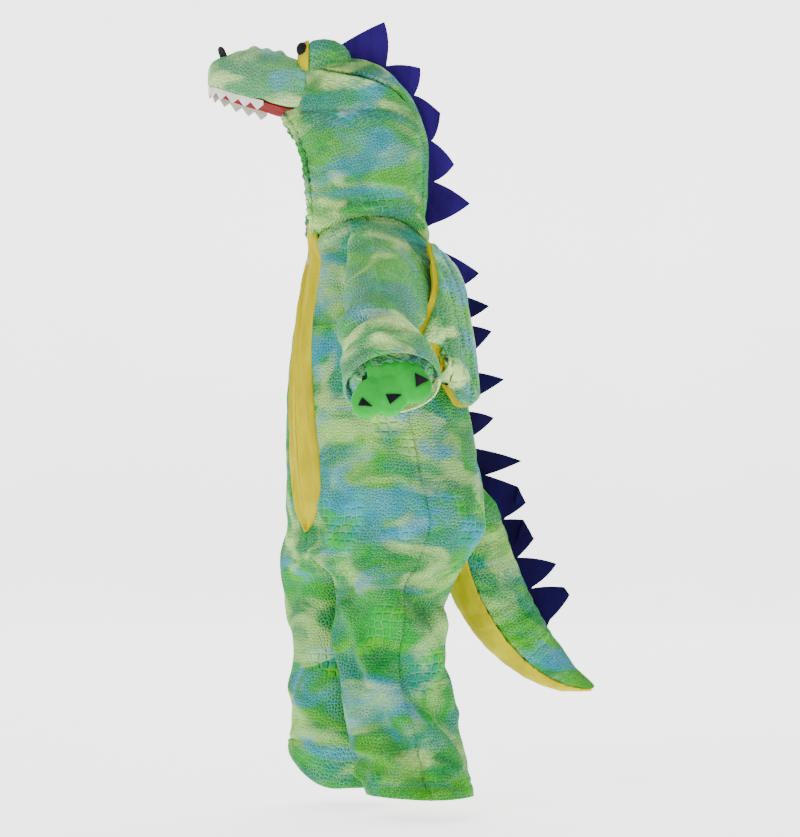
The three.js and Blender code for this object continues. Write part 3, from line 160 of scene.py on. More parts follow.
def tree(name, roughness, sheen=0.0, sheen_tint=(1, 1, 1, 1)):
    """A new finish, its shader, and two short functions that add a node and link two."""
    finish = bpy.data.materials.new(name)
    finish.use_nodes = True
    nodes, links = finish.node_tree.nodes, finish.node_tree.links
    shader = nodes["Principled BSDF"]
    shader.inputs["Roughness"].default_value = roughness
    shader.inputs["Sheen Weight"].default_value = sheen
    shader.inputs["Sheen Roughness"].default_value = SHEEN_ROUGHNESS
    shader.inputs["Sheen Tint"].default_value = sheen_tint
    shader.inputs["Specular IOR Level"].default_value = SPECULAR

    def node(kind, **values):
        made = nodes.new("ShaderNode" + kind)
        for key, value in values.items():
            if key in made.inputs:
                made.inputs[key].default_value = value
            else:
                setattr(made, key, value)
        return made

    def link(a, b, socket_a=0, socket_b=0):
        links.new(a.outputs[socket_a], b.inputs[socket_b])

    return finish, shader, node, link


def ramp(node, stops):
    made = node("ValToRGB")
    band = made.color_ramp
    while len(band.elements) < len(stops):
        band.elements.new(0.5)
    for element, (at, colour) in zip(band.elements, stops):
        element.position, element.color = at, (*colour, 1)
    return made


def colour(code):
    """A colour that is written as on the web, in the linear numbers that the shader takes."""
    parts = [int(code[k:k + 2], 16) / 255 for k in (1, 3, 5)]
    return tuple(c / 12.92 if c <= 0.04045 else ((c + 0.055) / 1.055) ** 2.4 for c in parts)


def lay_over(node, link, below, shade, share):
    """Lays a colour over what is below it, by one share all over or by the share that a node gives."""
    mixed = node("MixRGB")
    mixed.inputs["Color2"].default_value = (*colour(shade), 1)
    if isinstance(share, float):
        mixed.inputs["Fac"].default_value = share
    else:
        link(share, mixed)
    link(below, mixed, 0, "Color1")
    return mixed


print("pale lines in linear numbers:", [round(c, 2) for c in colour("#cdeecb")])

# %% [markdown]
# ### Dyed and embossed plush
# Five dyes are laid over the green cloth one after another, each in soft clouds of its own. The scales are
# cells of a Voronoi pattern that is only half random, so they stay nearly square and in rows, as on pressed
# crocodile cloth. In some places much smaller pebbles take over. The lines between them are sunk, which a
# bump gives, and pale, partly as the pressed lines are and partly as a painted highlight.

# %% Dyed patches
GREEN_DYE, PALE_DYE, WASH_DYE = "#007e36", "#ccf488", "#b4e0c8"
PATCH_STRETCH = (1.0, 0.6, 1.45)
DYES = [
    # noise scale, where a patch starts and is full, strength, colour
    (13.0, 0.42, 0.58, 1.0, "#009828"), (12.0, 0.5, 0.64, 0.9, "#40a800"),
    (11.0, 0.5, 0.66, 0.85, "#007e70"), (12.5, 0.49, 0.66, 1.0, PALE_DYE),
    (11.0, 0.53, 0.68, 0.65, "#1c88c0"),
]


def dyed_patches(node, link, place, turn, paleness, wash):
    """The dyes, one over another in clouds of their own, and a pale wash over them all."""
    dyed = node("RGB")
    dyed.outputs[0].default_value = (*colour(GREEN_DYE), 1)
    for k, (size, low, high, amount, shade) in enumerate(DYES):
        spot = node("Mapping")
        spot.inputs["Location"].default_value = (2.3 * k + turn, 1.7 * k, 0.9 * k)
        spot.inputs["Scale"].default_value = PATCH_STRETCH
        link(place, spot, "Object")
        cloud = node("TexNoise", Scale=size, Detail=3.5, Roughness=0.5, Distortion=0.8)
        link(spot, cloud)
        full = amount * (paleness if shade == PALE_DYE else 1)
        share = node("MapRange", interpolation_type="SMOOTHSTEP",
                     **{"From Min": low, "From Max": high, "To Max": full})
        link(cloud, share)
        dyed = lay_over(node, link, dyed, shade, share)
    return lay_over(node, link, dyed, WASH_DYE, wash)


print("dyes", len(DYES))

# %% [markdown]
# The scales are measured in metres of cloth. A slow wobble bends their rows a little, and a cloud decides
# where the squares give way to pebbles. The lines are paler than the cloth, partly in their own colour and
# partly as a painted highlight, and more in some places than in others.

# %% Pressed scales and their lines
SCALE_MM, PEBBLE_MM = 11.0, 4.4
# the pale line colour is partly the pressed lines' own colour and partly a painted highlight
WOBBLE_M, LINE_STRENGTH, LINE_COLOUR = 0.006, 0.13, "#cdeecb"


def pressed_scales(node, link, place, turn, pebbles):
    """The map of the cloth, and how high it stands on that map: 0 in a line, 1 on a scale."""
    cloth_map = node("Mapping")
    cloth_map.inputs["Rotation"].default_value = (0, 0, math.radians(turn))
    link(place, cloth_map, "UV")
    wobble = node("TexNoise", Scale=26.0, Detail=1.0)
    link(cloth_map, wobble)
    moved = node("VectorMath", operation="MULTIPLY_ADD")
    moved.inputs[1].default_value = (WOBBLE_M, WOBBLE_M, 0.0)
    link(wobble, moved, "Color", 0)
    link(cloth_map, moved, 0, 2)

    def cells(size, random, edge):
        made = node("TexVoronoi", voronoi_dimensions="2D", feature="DISTANCE_TO_EDGE",
                    Scale=1000 / size, Randomness=random)
        link(moved, made)
        height = node("MapRange", interpolation_type="SMOOTHSTEP", **{"From Max": edge})
        link(made, height)
        return height

    squares, small = cells(SCALE_MM, 0.28, 0.26), cells(PEBBLE_MM, 0.8, 0.4)
    where = node("TexNoise", Scale=13.0, Detail=1.0)
    link(cloth_map, where)
    share = node("MapRange", interpolation_type="SMOOTHSTEP",
                 **{"From Min": pebbles - 0.05, "From Max": pebbles + 0.05})
    link(where, share)
    height = node("Mix", data_type="FLOAT")
    link(share, height, 0, "Factor")
    link(small, height, 0, 2)
    link(squares, height, 0, 3)
    return cloth_map, height


def pale_lines(node, link, cloth_map, height):
    """How much the pale lines between the scales show at each place; their pale is partly a painted
    highlight.
    """
    lines = node("MapRange", **{"From Min": 0.0, "From Max": 0.55, "To Min": LINE_STRENGTH, "To Max": 0.0})
    link(height, lines)
    # random clouds let the pale lines, partly a painted highlight, show more in some places than in others
    uneven_lines = node("TexNoise", Scale=34.0, Detail=2.0)
    link(cloth_map, uneven_lines)
    fading = node("MapRange", **{"From Min": 0.36, "From Max": 0.62, "To Min": 0.25, "To Max": 1.25})
    link(uneven_lines, fading)
    shown = node("Math", operation="MULTIPLY")
    link(lines, shown)
    link(fading, shown, 0, 1)
    return shown


print("scales", SCALE_MM, "mm, pebbles", PEBBLE_MM, "mm")

# %% Plush
PILE_DEPTH_M, PRESSED_DEPTH_M = 0.0006, 0.0022


def plush(name, turn, pebbles, paleness, wash=0.0):
    """Plush for one part of the garment, with its dyes and scales laid on at another turn."""
    finish, shader, node, link = tree(name, 0.8, 0.05, (0.7, 1.0, 0.6, 1))
    place = node("TexCoord")
    dyed = dyed_patches(node, link, place, turn, paleness, wash)
    cloth_map, height = pressed_scales(node, link, place, turn, pebbles)
    # the pale lines, partly a painted highlight, are laid over the dyed patches
    shown = lay_over(node, link, dyed, LINE_COLOUR, pale_lines(node, link, cloth_map, height))
    link(shown, shader, 0, "Base Color")
    pile = node("TexNoise", Scale=1400.0, Detail=2.0)
    link(place, pile, "Object")
    nap = node("Bump", Strength=0.35, Distance=PILE_DEPTH_M)
    link(pile, nap, 0, "Height")
    pressed = node("Bump", Strength=1.0, Distance=PRESSED_DEPTH_M)
    link(height, pressed, 0, "Height")
    link(nap, pressed, 0, "Normal")
    link(pressed, shader, 0, "Normal")
    return finish


plush_body = plush("plush_body", 0.0, 0.6, 0.5)
plush_hood = plush("plush_hood", 17.0, 0.6, 0.8, 0.04)
plush_limb = plush("plush_limb", -12.0, 0.58, 0.95, 0.12)
plush_snout = plush("plush_snout", 4.0, 0.57, 0.9, 0.2)
print("plush finishes:", [m.name for m in (plush_body, plush_hood, plush_limb, plush_snout)])

# %% [markdown]
# ### Velvet, felt, foam cloth and metal
# The other finishes are plainer. Velvet gets streaks where the pile lies another way, felt gets short
# fibres, foam cloth gets a fine knit, and the zip is dull grey metal. One function makes them all, because
# they differ only in colour, grain, gloss and depth. The violet felt gets painted shade below the hood,
# which darkens the spikes down the back and on the tail as if they stood in the shadow of the body.

# %% Plain cloths and metal
PILE_LIES, SPECKLE = (1.0, 1.0, 0.45), 0.18


def painted_shade_below(node, link, place, tones, low, high, shade):
    """A colour that is multiplied by a painted shade below one height and left alone above another."""
    split = node("SeparateXYZ")
    link(place, split, "Object")
    how = node("MapRange", interpolation_type="SMOOTHSTEP", **{"From Min": low, "From Max": high})
    link(split, how, "Z")
    deep = ramp(node, [(0.0, shade), (1.0, (1, 1, 1))])
    link(how, deep)
    shown = node("MixRGB", blend_type="MULTIPLY")
    shown.inputs["Fac"].default_value = 1.0
    link(tones, shown, 0, "Color1")
    link(deep, shown, 0, "Color2")
    return shown


def plain_cloth(name, dark, light, grain, patch, roughness, sheen, depth=0.0006, painted_shade_range=None):
    finish, shader, node, link = tree(name, roughness, sheen)
    place = node("TexCoord")
    lie = node("Mapping")
    lie.inputs["Scale"].default_value = PILE_LIES
    link(place, lie, "Object")
    patches = node("TexNoise", Scale=patch, Detail=4.0, Roughness=0.55)
    link(lie, patches)
    tones = ramp(node, [(0.36, colour(dark)), (0.62, colour(light))])
    link(patches, tones)
    # painted shade below a height, for the cloths that are given one
    shown = painted_shade_below(node, link, place, tones, *painted_shade_range) if painted_shade_range else tones
    fibres = node("TexNoise", Scale=grain, Detail=3.0, Roughness=0.6)
    link(place, fibres, "Object")
    speckle = node("MixRGB", blend_type="OVERLAY")
    speckle.inputs["Fac"].default_value = SPECKLE
    link(shown, speckle, 0, "Color1")
    link(fibres, speckle, "Fac", "Color2")
    link(speckle, shader, 0, "Base Color")
    raised = node("Bump", Strength=0.5, Distance=depth)
    link(fibres, raised, 0, "Height")
    link(raised, shader, 0, "Normal")
    return finish


yellow_velvet = plain_cloth("yellow_velvet", "#a09200", "#bcb000", 1100, 26, 0.9, 0.0)
red_velvet = plain_cloth("red_velvet", "#600001", "#7c0001", 1200, 40, 0.9, 0.0)
# painted shade below the hood darkens the felt of the spikes down the back and on the tail
violet_felt = plain_cloth("violet_felt", "#1d0850", "#2a1068", 700, 30, 0.95, 0.03, 0.0008,
                          painted_shade_range=(-0.1, 0.03, (0.22, 0.2, 0.34)))
black_felt = plain_cloth("black_felt", "#0c0c0e", "#191a1c", 800, 60, 0.9, 0.1)
white_felt = plain_cloth("white_felt", "#d4d1c8", "#efece4", 800, 40, 0.93, 0.1)
foam_cloth = plain_cloth("foam_cloth", "#0c9628", "#18ac34", 1500, 22, 0.55, 0.02, 0.0003)
dull_metal = plain_cloth("dull_metal", "#85878a", "#a6a8aa", 500, 90, 0.38, 0.0, 0.0001)
dull_metal.node_tree.nodes["Principled BSDF"].inputs["Metallic"].default_value = 1.0
floor_paint = plain_cloth("floor_paint", "#f1f1ef", "#f7f7f5", 300, 2, 0.9, 0.0, 0.0001)
glow = floor_paint.node_tree.nodes["Principled BSDF"].inputs
glow["Emission Color"].default_value, glow["Emission Strength"].default_value = (1, 1, 1, 1), FLOOR_GLOW
studio_floor.data.materials.append(floor_paint)
print("finishes in all:", len(bpy.data.materials))

# %% [markdown]
# ## Sections
# The garment's form is written as sections: at each height a width, a depth and a turn. These are the
# numbers of the solids, in millimetres. A smooth curve that never swings past its points reads a value
# between two rows.

# %% How a table is kept and read
def table(names, *rows):
    ordered = sorted(rows)
    return {key: np.array([row[k] for row in ordered], float) for k, key in enumerate(names.split())}


def read(rows, key, at):
    """A column of a table at some places, on a curve that never swings past its rows."""
    xs, ys = next(iter(rows.values())), rows[key]
    at = np.asarray(at, float)
    slope = np.diff(ys) / np.diff(xs)
    tangent = np.concatenate([slope[:1], np.zeros(len(xs) - 2), slope[-1:]])
    before, after = slope[:-1], slope[1:]
    same = before * after > 0
    inner = np.zeros(len(xs) - 2)
    inner[same] = 2 * before[same] * after[same] / (before[same] + after[same])
    tangent[1:-1] = inner
    i = np.clip(np.searchsorted(xs, at, side="right") - 1, 0, len(xs) - 2)
    span = xs[i + 1] - xs[i]
    t = np.clip((at - xs[i]) / span, 0, 1)
    return ((2 * t**3 - 3 * t**2 + 1) * ys[i] + (t**3 - 2 * t**2 + t) * span * tangent[i]
            + (3 * t**2 - 2 * t**3) * ys[i + 1] + (t**3 - t**2) * span * tangent[i + 1])


# %% Sections of the body and the sleeves
TRUNK = table("z half front back mid turn square",
    (8, 72, 82, 77, -1, 8, 2.2), (-4, 88, 81, 78, -1, 10, 2.2),
    (-16, 101, 81, 80, -1, 12, 2.2), (-30, 108, 83, 82, 0, 15, 2.2),
    (-50, 113, 89, 88, 3, 17, 2.2), (-78, 117, 98, 97, 6, 20, 2.1),
    (-130, 123, 107, 107, 6, 22, 2.1), (-182, 129, 112, 112, 6, 24, 2.1),
    (-234, 135, 114, 114, 7, 26, 2.1), (-286, 141, 118, 119, 12, 28, 2.1),
    (-338, 147, 119, 120, 15, 30, 2.1), (-364, 149, 115, 117, 15, 31, 2.1),
    (-395, 149, 110, 112, 8, 32, 2.1), (-468, 140, 97, 100, -9, 34, 2.1),
    (-598, 140, 100, 100, -1, 34, 2.1), (-650, 140, 100, 100, 5, 34, 2.1),
    (-713, 140, 100, 100, 9, 34, 2.1),
)
LEG = table("z apart half depth square",
    (-380, 66, 64, 92, 2.9), (-430, 60, 59, 78, 2.8),
    (-468, 56.6, 56, 71, 2.6), (-530, 57, 56, 71, 2.4),
    (-598, 60.5, 58, 75, 2.3), (-650, 71, 61, 75, 2.1),
    (-690, 85, 65, 74, 2), (-713, 94, 62, 69, 2),
)
BELLY = table("z half",
    (8, 30), (-27, 40),
    (-60, 34), (-110, 31),
    (-160, 36), (-222, 41),
    (-286, 44), (-320, 41),
    (-348, 29), (-366, 14),
    (-378, 0.6),
)
SLEEVE = table("v radius",
    (0, 52), (0.3, 56),
    (0.55, 53), (0.75, 56),
    (0.9, 62), (1, 55),
)
print("trunk rows", len(TRUNK["z"]))

# %% Sections of the hood
HOOD = table("z half front back mid turn square open",
    (8.3, 72, 82, 77, -1, 8, 2.2, 30), (26, 77, 87, 76, -5, 4, 2.3, 46),
    (65, 82, 90, 82, -9, 0, 2.4, 58), (104, 84, 92, 84, -10, 0, 2.4, 57),
    (130, 84, 99, 82, -10, 0, 2.7, 58), (156, 82, 106, 75, -10, 0, 2.8, 42),
    (163, 81.5, 105, 72, -10, 0, 2.8, 2), (182, 77, 99, 63, -10, 0, 2.6, 0),
    (208, 65, 84, 53, -20, 0, 2.3, 0), (223.5, 49, 64, 49, -32, 0, 2.1, 0),
    (234, 31, 41, 37, -40, 0, 2, 0), (240.5, 1, 20, 20, -48, 0, 2, 0),
)
CROWN_SEAM = table("z angle",
    (8.3, 160), (120, 157),
    (180, 140), (196, 112),
    (214, 68), (221, 38),
    (228, 1),
)
print("hood rows", len(HOOD["z"]))

# %% Cut of a wing and sections of the tail
WING_CUT = table("w top bottom",
    (0, -60, -156), (20, -50, -185),
    (45, -36, -208), (70, -23, -215),
    (84, -19, -218), (93, -26, -219),
    (104, -48, -219), (114, -70, -214),
    (120, -82, -198), (125, -92, -152),
    (134, -110, -144), (146, -134, -141),
)
WING_STANDS = table("w off",
    (0, 6.6), (60, 12),
    (128, 24),
)
TAIL = table("k x y z radius",
    (0, -44, 78, -322, 40), (1, -52, 117, -360, 50),
    (2, -60, 138, -420, 49), (3, -68, 163, -474, 47),
    (4, -77, 193, -518, 41), (5, -86, 228, -553, 31),
    (6, -94, 262, -576, 18), (7, -100, 294, -588, 4),
)
print("tail rows", len(TAIL["k"]))

# %% Single sizes
PARTING = {"middle": (-398, -474), "side": (-352, -560)}
HEM_LIFT, HEM_LIFT_FROM = {LEFT: 4, RIGHT: 44}, -640
NECK_TOP_Z, HEM_STITCH_Z, HEM_Z = 24, -698, -713
ARMHOLE = {"z": -65, "girth": 0.9, "high": 50, "wide": 0.36}
ZIP_HALF_GAP_MM, ZIP_END_Z, BELLY_TIP_Z, OPEN_TOP_Z, GAP = 1.0, -348, -378, 163, 0.3
print("the zip ends", ZIP_END_Z - BELLY_TIP_Z, "mm above the leaf's tip")


# %% Points on the sections
def smooth(t):
    t = np.clip(t, 0, 1)
    return t * t * (3 - 2 * t)


def mix(a, b, t):
    return a + (b - a) * t


def power(x, p):
    return np.sign(x) * np.abs(x) ** p


def turned(rows, z, side, s, t, height=None):
    """A point that is s to the costume's own side and t to the front of a section."""
    turn, mid = np.radians(read(rows, "turn", z)), read(rows, "mid", z)
    x = side * s * np.cos(turn) + t * np.sin(turn)
    y = mid + side * s * np.sin(turn) - t * np.cos(turn)
    return np.stack(np.broadcast_arrays(x, y, z if height is None else height), -1)


def oval(rows, z, angle):
    """How far a section reaches to its side and to its front at an angle from the front."""
    bend = 2 / read(rows, "square", z)
    sine, cosine = np.sin(np.radians(angle)), np.cos(np.radians(angle))
    depth = np.where(cosine > 0, read(rows, "front", z), read(rows, "back", z))
    return read(rows, "half", z) * power(sine, bend), depth * power(cosine, bend)


# %% [markdown]
# ## Folds
# Cloth that hangs from the shoulder seams and bunches down the trouser legs makes a few long soft folds,
# and many small ones. The long ones are placed one by one: each is a line on the cloth with a width and a
# rise, above zero for a ridge and below it for a trough. Girth runs from 0 in the middle of the front over
# 1 at the side seam to 2 in the middle of the back. The small ones are a sum of slow waves, different at
# every place, so no two stretches look the same.

# %% Folds of the body
BODY_FOLDS = [
    # side, girth and height of one end, girth and height of the other, width, rise
    (LEFT, 0.5, -400, 0.95, -497, 22, 6), (LEFT, 0.95, -497, 1.16, -585, 22, 6),
    (LEFT, 0.36, -425, 0.74, -520, 20, -6), (LEFT, 0.79, -572, 1.1, -669, 20, 6),
    (LEFT, 0.6, -600, 0.9, -680, 18, -5), (LEFT, 0.88, -277, 1.08, -352, 16, -7),
    (LEFT, 1.1, -345, 1.35, -378, 26, 7), (RIGHT, 0.55, -410, 0.9, -505, 22, 6),
    (RIGHT, 0.4, -440, 0.7, -530, 20, -5), (RIGHT, 0.75, -585, 1.15, -660, 20, 6),
    (RIGHT, 0.92, -285, 1.12, -350, 16, -6), (LEFT, 0.42, -62, 0.56, -112, 15, -6),
    (RIGHT, 0.42, -66, 0.52, -105, 15, -5), (LEFT, 1.45, -12, 1.6, -70, 14, 4),
    (RIGHT, 1.45, -18, 1.55, -75, 14, 4),
    # narrower creases beside them
    (LEFT, 0.64, -392, 1.02, -478, 9, -5), (LEFT, 0.44, -470, 0.72, -560, 8, 4),
    (LEFT, 1.02, -478, 1.26, -560, 9, -5), (LEFT, 0.52, -540, 0.8, -640, 9, -4.5),
    (LEFT, 0.66, -520, 0.94, -628, 12, 4), (LEFT, 0.95, -590, 1.25, -672, 8, -4.5),
    (LEFT, 1.2, -468, 1.55, -492, 8, -6), (LEFT, 1.18, -494, 1.5, -520, 11, 4),
    (LEFT, 1.3, -545, 1.66, -570, 9, -5), (LEFT, 1.3, -610, 1.7, -640, 10, 4),
    (LEFT, 0.2, -520, 0.4, -640, 10, -3.5), (LEFT, 0.3, -500, 0.55, -610, 9, 3),
    (LEFT, 0.3, -664, 0.9, -690, 8, -4), (LEFT, 0.5, -652, 1.1, -676, 8, 3.5),
    (LEFT, 1.0, -690, 1.5, -684, 9, -3.5), (LEFT, 0.1, -676, 0.5, -700, 8, 3),
    (LEFT, 0.36, -120, 0.44, -300, 10, -3), (LEFT, 0.62, -128, 0.56, -260, 14, 3.5),
    (LEFT, 0.74, -124, 0.7, -215, 10, -4), (LEFT, 0.9, -122, 0.84, -230, 12, 3),
    (LEFT, 0.5, -250, 0.7, -372, 13, 3), (LEFT, 0.66, -300, 0.82, -392, 9, -3.5),
    (LEFT, 0.3, -330, 0.36, -404, 9, -3.5), (LEFT, 0.12, -392, 0.34, -412, 8, -4),
    (LEFT, 1.3, -110, 1.4, -190, 10, -3.5), (LEFT, 1.2, -180, 1.5, -240, 12, 3),
    (LEFT, 1.35, -250, 1.7, -300, 12, -3), (LEFT, 0.38, -14, 0.62, -34, 7, -3),
    (RIGHT, 0.62, -400, 1.0, -485, 9, -5), (RIGHT, 1.0, -485, 1.22, -566, 9, -4),
    (RIGHT, 0.5, -545, 0.82, -636, 9, -4.5), (RIGHT, 0.3, -500, 0.5, -600, 9, 3),
    (RIGHT, 0.9, -600, 1.2, -668, 8, -4), (RIGHT, 1.22, -470, 1.55, -498, 9, -5),
    (RIGHT, 1.25, -550, 1.65, -580, 10, -4), (RIGHT, 1.3, -620, 1.7, -650, 10, 4),
    (RIGHT, 0.3, -650, 0.9, -682, 8, -4), (RIGHT, 0.2, -630, 0.8, -662, 9, 3.5),
    (RIGHT, 0.62, -122, 0.6, -240, 13, 3.5), (RIGHT, 0.76, -124, 0.72, -220, 10, -4),
    (RIGHT, 0.4, -160, 0.44, -310, 10, -3), (RIGHT, 1.3, -120, 1.45, -200, 10, -3.5),
    (RIGHT, 1.3, -260, 1.65, -310, 12, -3), (RIGHT, 0.12, -392, 0.32, -414, 8, -4),
    (RIGHT, 0.38, -14, 0.6, -36, 7, -3),
]
GIRTH_MM = 165
FOLD_DEPTH, LEG_FOLDS_DEEPER = 1.3, {LEFT: 0.9, RIGHT: 0.1}
print("folds placed by hand on the body:", len(BODY_FOLDS))


# %% How a fold lifts the cloth
def fold_rise(folds, side, across, z, unit):
    """How far the folds of one side lift the cloth, in mm. The unit is the length of one step across."""
    rise = np.zeros(np.broadcast(across, z).shape)
    for which, a0, z0, a1, z1, wide, high in folds:
        if which != side:
            continue
        line = np.array([(a1 - a0) * unit, z1 - z0])
        along, down = (across - a0) * unit, z - z0
        share = np.clip((along * line[0] + down * line[1]) / (line @ line), 0, 1)
        bow = 0.09 * np.hypot(*line) * np.sin(np.pi * share) * (1 if (z0 + z1) % 2 else -1)
        away = np.hypot(along - share * line[0] + bow * 0.5, down - share * line[1] + bow * 0.5)
        rise = rise + high * np.exp(-((away / wide) ** 2)) * (0.75 + 0.25 * np.sin(3 + 7 * share + a0 * 9))
    return rise


def ripple(points, size=1.0):
    """Small slow waves in the cloth, in mm, from a place in mm."""
    x, y, z = (points[..., k] / 1000 for k in range(3))
    bend = np.sin(23 * z + 9 * x) + np.sin(31 * y - 17 * z)
    waves = (np.sin(71 * z + 43 * y + 1.7 * bend) + 0.8 * np.sin(97 * y - 61 * x + 2.1 * bend + 1)
             + 0.6 * np.sin(131 * x + 113 * z - 1.3 * bend + 2) + 0.45 * np.sin(211 * z - 167 * y + bend))
    return 0.42 * size * waves


def fold_depth(side, girth, z):
    """How deep the folds are. They are deepest in the front of the left trouser leg."""
    return FOLD_DEPTH + (LEG_FOLDS_DEEPER[side] * smooth((-400 - z) / 50)
                         * smooth((1.3 - girth) / 0.25) * smooth((girth - 0.1) / 0.2))


def neck_line(girth, z):
    """How far the neck seam rises over the shoulder, and drops at the front and the back."""
    arc = (16 * np.exp(-(((girth - 0.95) / 0.42) ** 2)) - 7 * np.exp(-(((girth - 0.2) / 0.22) ** 2))
           - 12 * np.exp(-(((girth - 1.75) / 0.3) ** 2)))
    return arc * np.exp(-(((z - 8) / 38) ** 2))

# %% The surface of the body
def body(side, girth, z):
    """The outer surface of half the body, from the neck to a trouser hem."""
    girth, z = np.broadcast_arrays(np.asarray(girth, float), np.asarray(z, float))
    angle = 90 * girth
    trunk_s, trunk_t = oval(TRUNK, z, angle)
    leg_angle = np.radians(180 * girth - 90)
    bend = 2 / read(LEG, "square", z)
    leg_s = read(LEG, "apart", z) + read(LEG, "half", z) * power(np.sin(leg_angle), bend)
    leg_t = read(LEG, "depth", z) * power(np.cos(leg_angle), bend)
    sideways = np.sin(np.radians(angle)) ** 2
    start = mix(PARTING["middle"][0], PARTING["side"][0], sideways)
    end = mix(PARTING["middle"][1], PARTING["side"][1], sideways)
    share = smooth((start - z) / (start - end))
    rise = fold_depth(side, girth, z) * fold_rise(BODY_FOLDS, side, girth, z, GIRTH_MM)
    s = mix(trunk_s + rise * np.sin(np.radians(angle)), leg_s + rise * np.sin(leg_angle), share)
    t = mix(trunk_t + rise * np.cos(np.radians(angle)), leg_t + rise * np.cos(leg_angle), share)
    lean = np.radians(34) if side == RIGHT else 0.0
    lift = HEM_LIFT[side] * smooth((HEM_LIFT_FROM - z) / 70) * np.clip(np.cos(leg_angle - lean), 0, 1) ** 2
    lift = lift + neck_line(girth, z)
    turn, mid = np.radians(read(TRUNK, "turn", z)), read(TRUNK, "mid", z)
    s = np.maximum(s, GAP / 2)
    return np.stack([side * s * np.cos(turn) + t * np.sin(turn),
                     mid + side * s * np.sin(turn) - t * np.cos(turn), z + lift], -1)


print("the left side seam at the waist:", np.round(body(LEFT, 1.0, -234.0)))

# %% [markdown]
# ## How a cut panel becomes a piece
# A panel is a grid of points in rows and columns. Small waves are added along its normals, its edges dip
# where they are sewn, and it gets a UV map that is measured in metres along the cloth, so that the pressed
# scales keep their size. A Solidify modifier then gives the cloth its thickness inwards. The size that the
# panel was cut to is measured on the smooth form, before the waves, and kept in a table.

# %% Measuring a grid of points
CLOTH_MM = 2.0
measured = {}


def normals_of(points, inside):
    """Unit normals of a grid of points that face away from what is inside."""
    across, down = np.gradient(points, axis=1), np.gradient(points, axis=0)
    normal = np.cross(across, down)
    normal /= np.maximum(np.linalg.norm(normal, axis=-1, keepdims=True), 1e-9)
    facing = np.sign((normal * (points - inside)).sum(-1).mean())
    return normal * facing


def lengths(points, axis):
    steps = np.linalg.norm(np.diff(points, axis=axis), axis=-1)
    shape = [1 if k == axis else n for k, n in enumerate(points.shape[:2])]
    return np.concatenate([np.zeros(shape), np.cumsum(steps, axis=axis)], axis=axis)


def cut_size(points):
    """The width, the length and the area of the cloth that a grid of points needs, in metres."""
    across, down = points[:-1, 1:] - points[1:, :-1], points[1:, 1:] - points[:-1, :-1]
    area = np.linalg.norm(np.cross(across, down), axis=-1).sum() / 2
    return (float(lengths(points, 1)[:, -1].max() * MM), float(lengths(points, 0)[-1].max() * MM),
            float(area * MM * MM))


print("cloth", CLOTH_MM, "mm thick")


# %% Meshes and modifiers
def mesh_piece(name, verts, faces, uv, finish, flip=False):
    mesh = bpy.data.meshes.new(name)
    mesh.from_pydata([tuple(v) for v in verts], [], [tuple(int(k) for k in f) for f in faces])
    layer = mesh.uv_layers.new(name="cloth")
    flat = np.asarray(uv, float).reshape(-1, 2)
    layer.data.foreach_set("uv", flat.astype(np.float32).ravel())
    piece = bpy.data.objects.new(name, mesh)
    bpy.context.scene.collection.objects.link(piece)
    shape = bmesh.new()
    shape.from_mesh(mesh)
    if flip:
        bmesh.ops.reverse_faces(shape, faces=shape.faces)
    bmesh.ops.remove_doubles(shape, verts=shape.verts, dist=2e-5)
    bmesh.ops.dissolve_degenerate(shape, dist=1e-6, edges=shape.edges)
    shape.to_mesh(mesh)
    shape.free()
    mesh.materials.append(finish)
    mesh.polygons.foreach_set("use_smooth", [True] * len(mesh.polygons))
    return piece


def apply(piece, kind, **values):
    modifier = piece.modifiers.new(kind.lower(), kind)
    for key, value in values.items():
        setattr(modifier, key, value)
    bpy.ops.object.select_all(action="DESELECT")
    bpy.context.view_layer.objects.active = piece
    piece.select_set(True)
    bpy.ops.object.modifier_apply(modifier=modifier.name)
    piece.select_set(False)


print("mesh tools ready")


# %% A panel from a grid of points
def grid_faces(rows, columns, ring=False):
    """The corners of every quad in a grid, as rows and columns and as numbers of vertices."""
    i, j = np.meshgrid(np.arange(rows - 1), np.arange(columns - 1), indexing="ij")
    corners = [(i, j), (i, j + 1), (i + 1, j + 1), (i + 1, j)]
    last = columns - 1
    numbers = [r * columns + (np.where(c == last, 0, c) if ring else c) for r, c in corners]
    return corners, np.stack(numbers, -1).reshape(-1, 4)


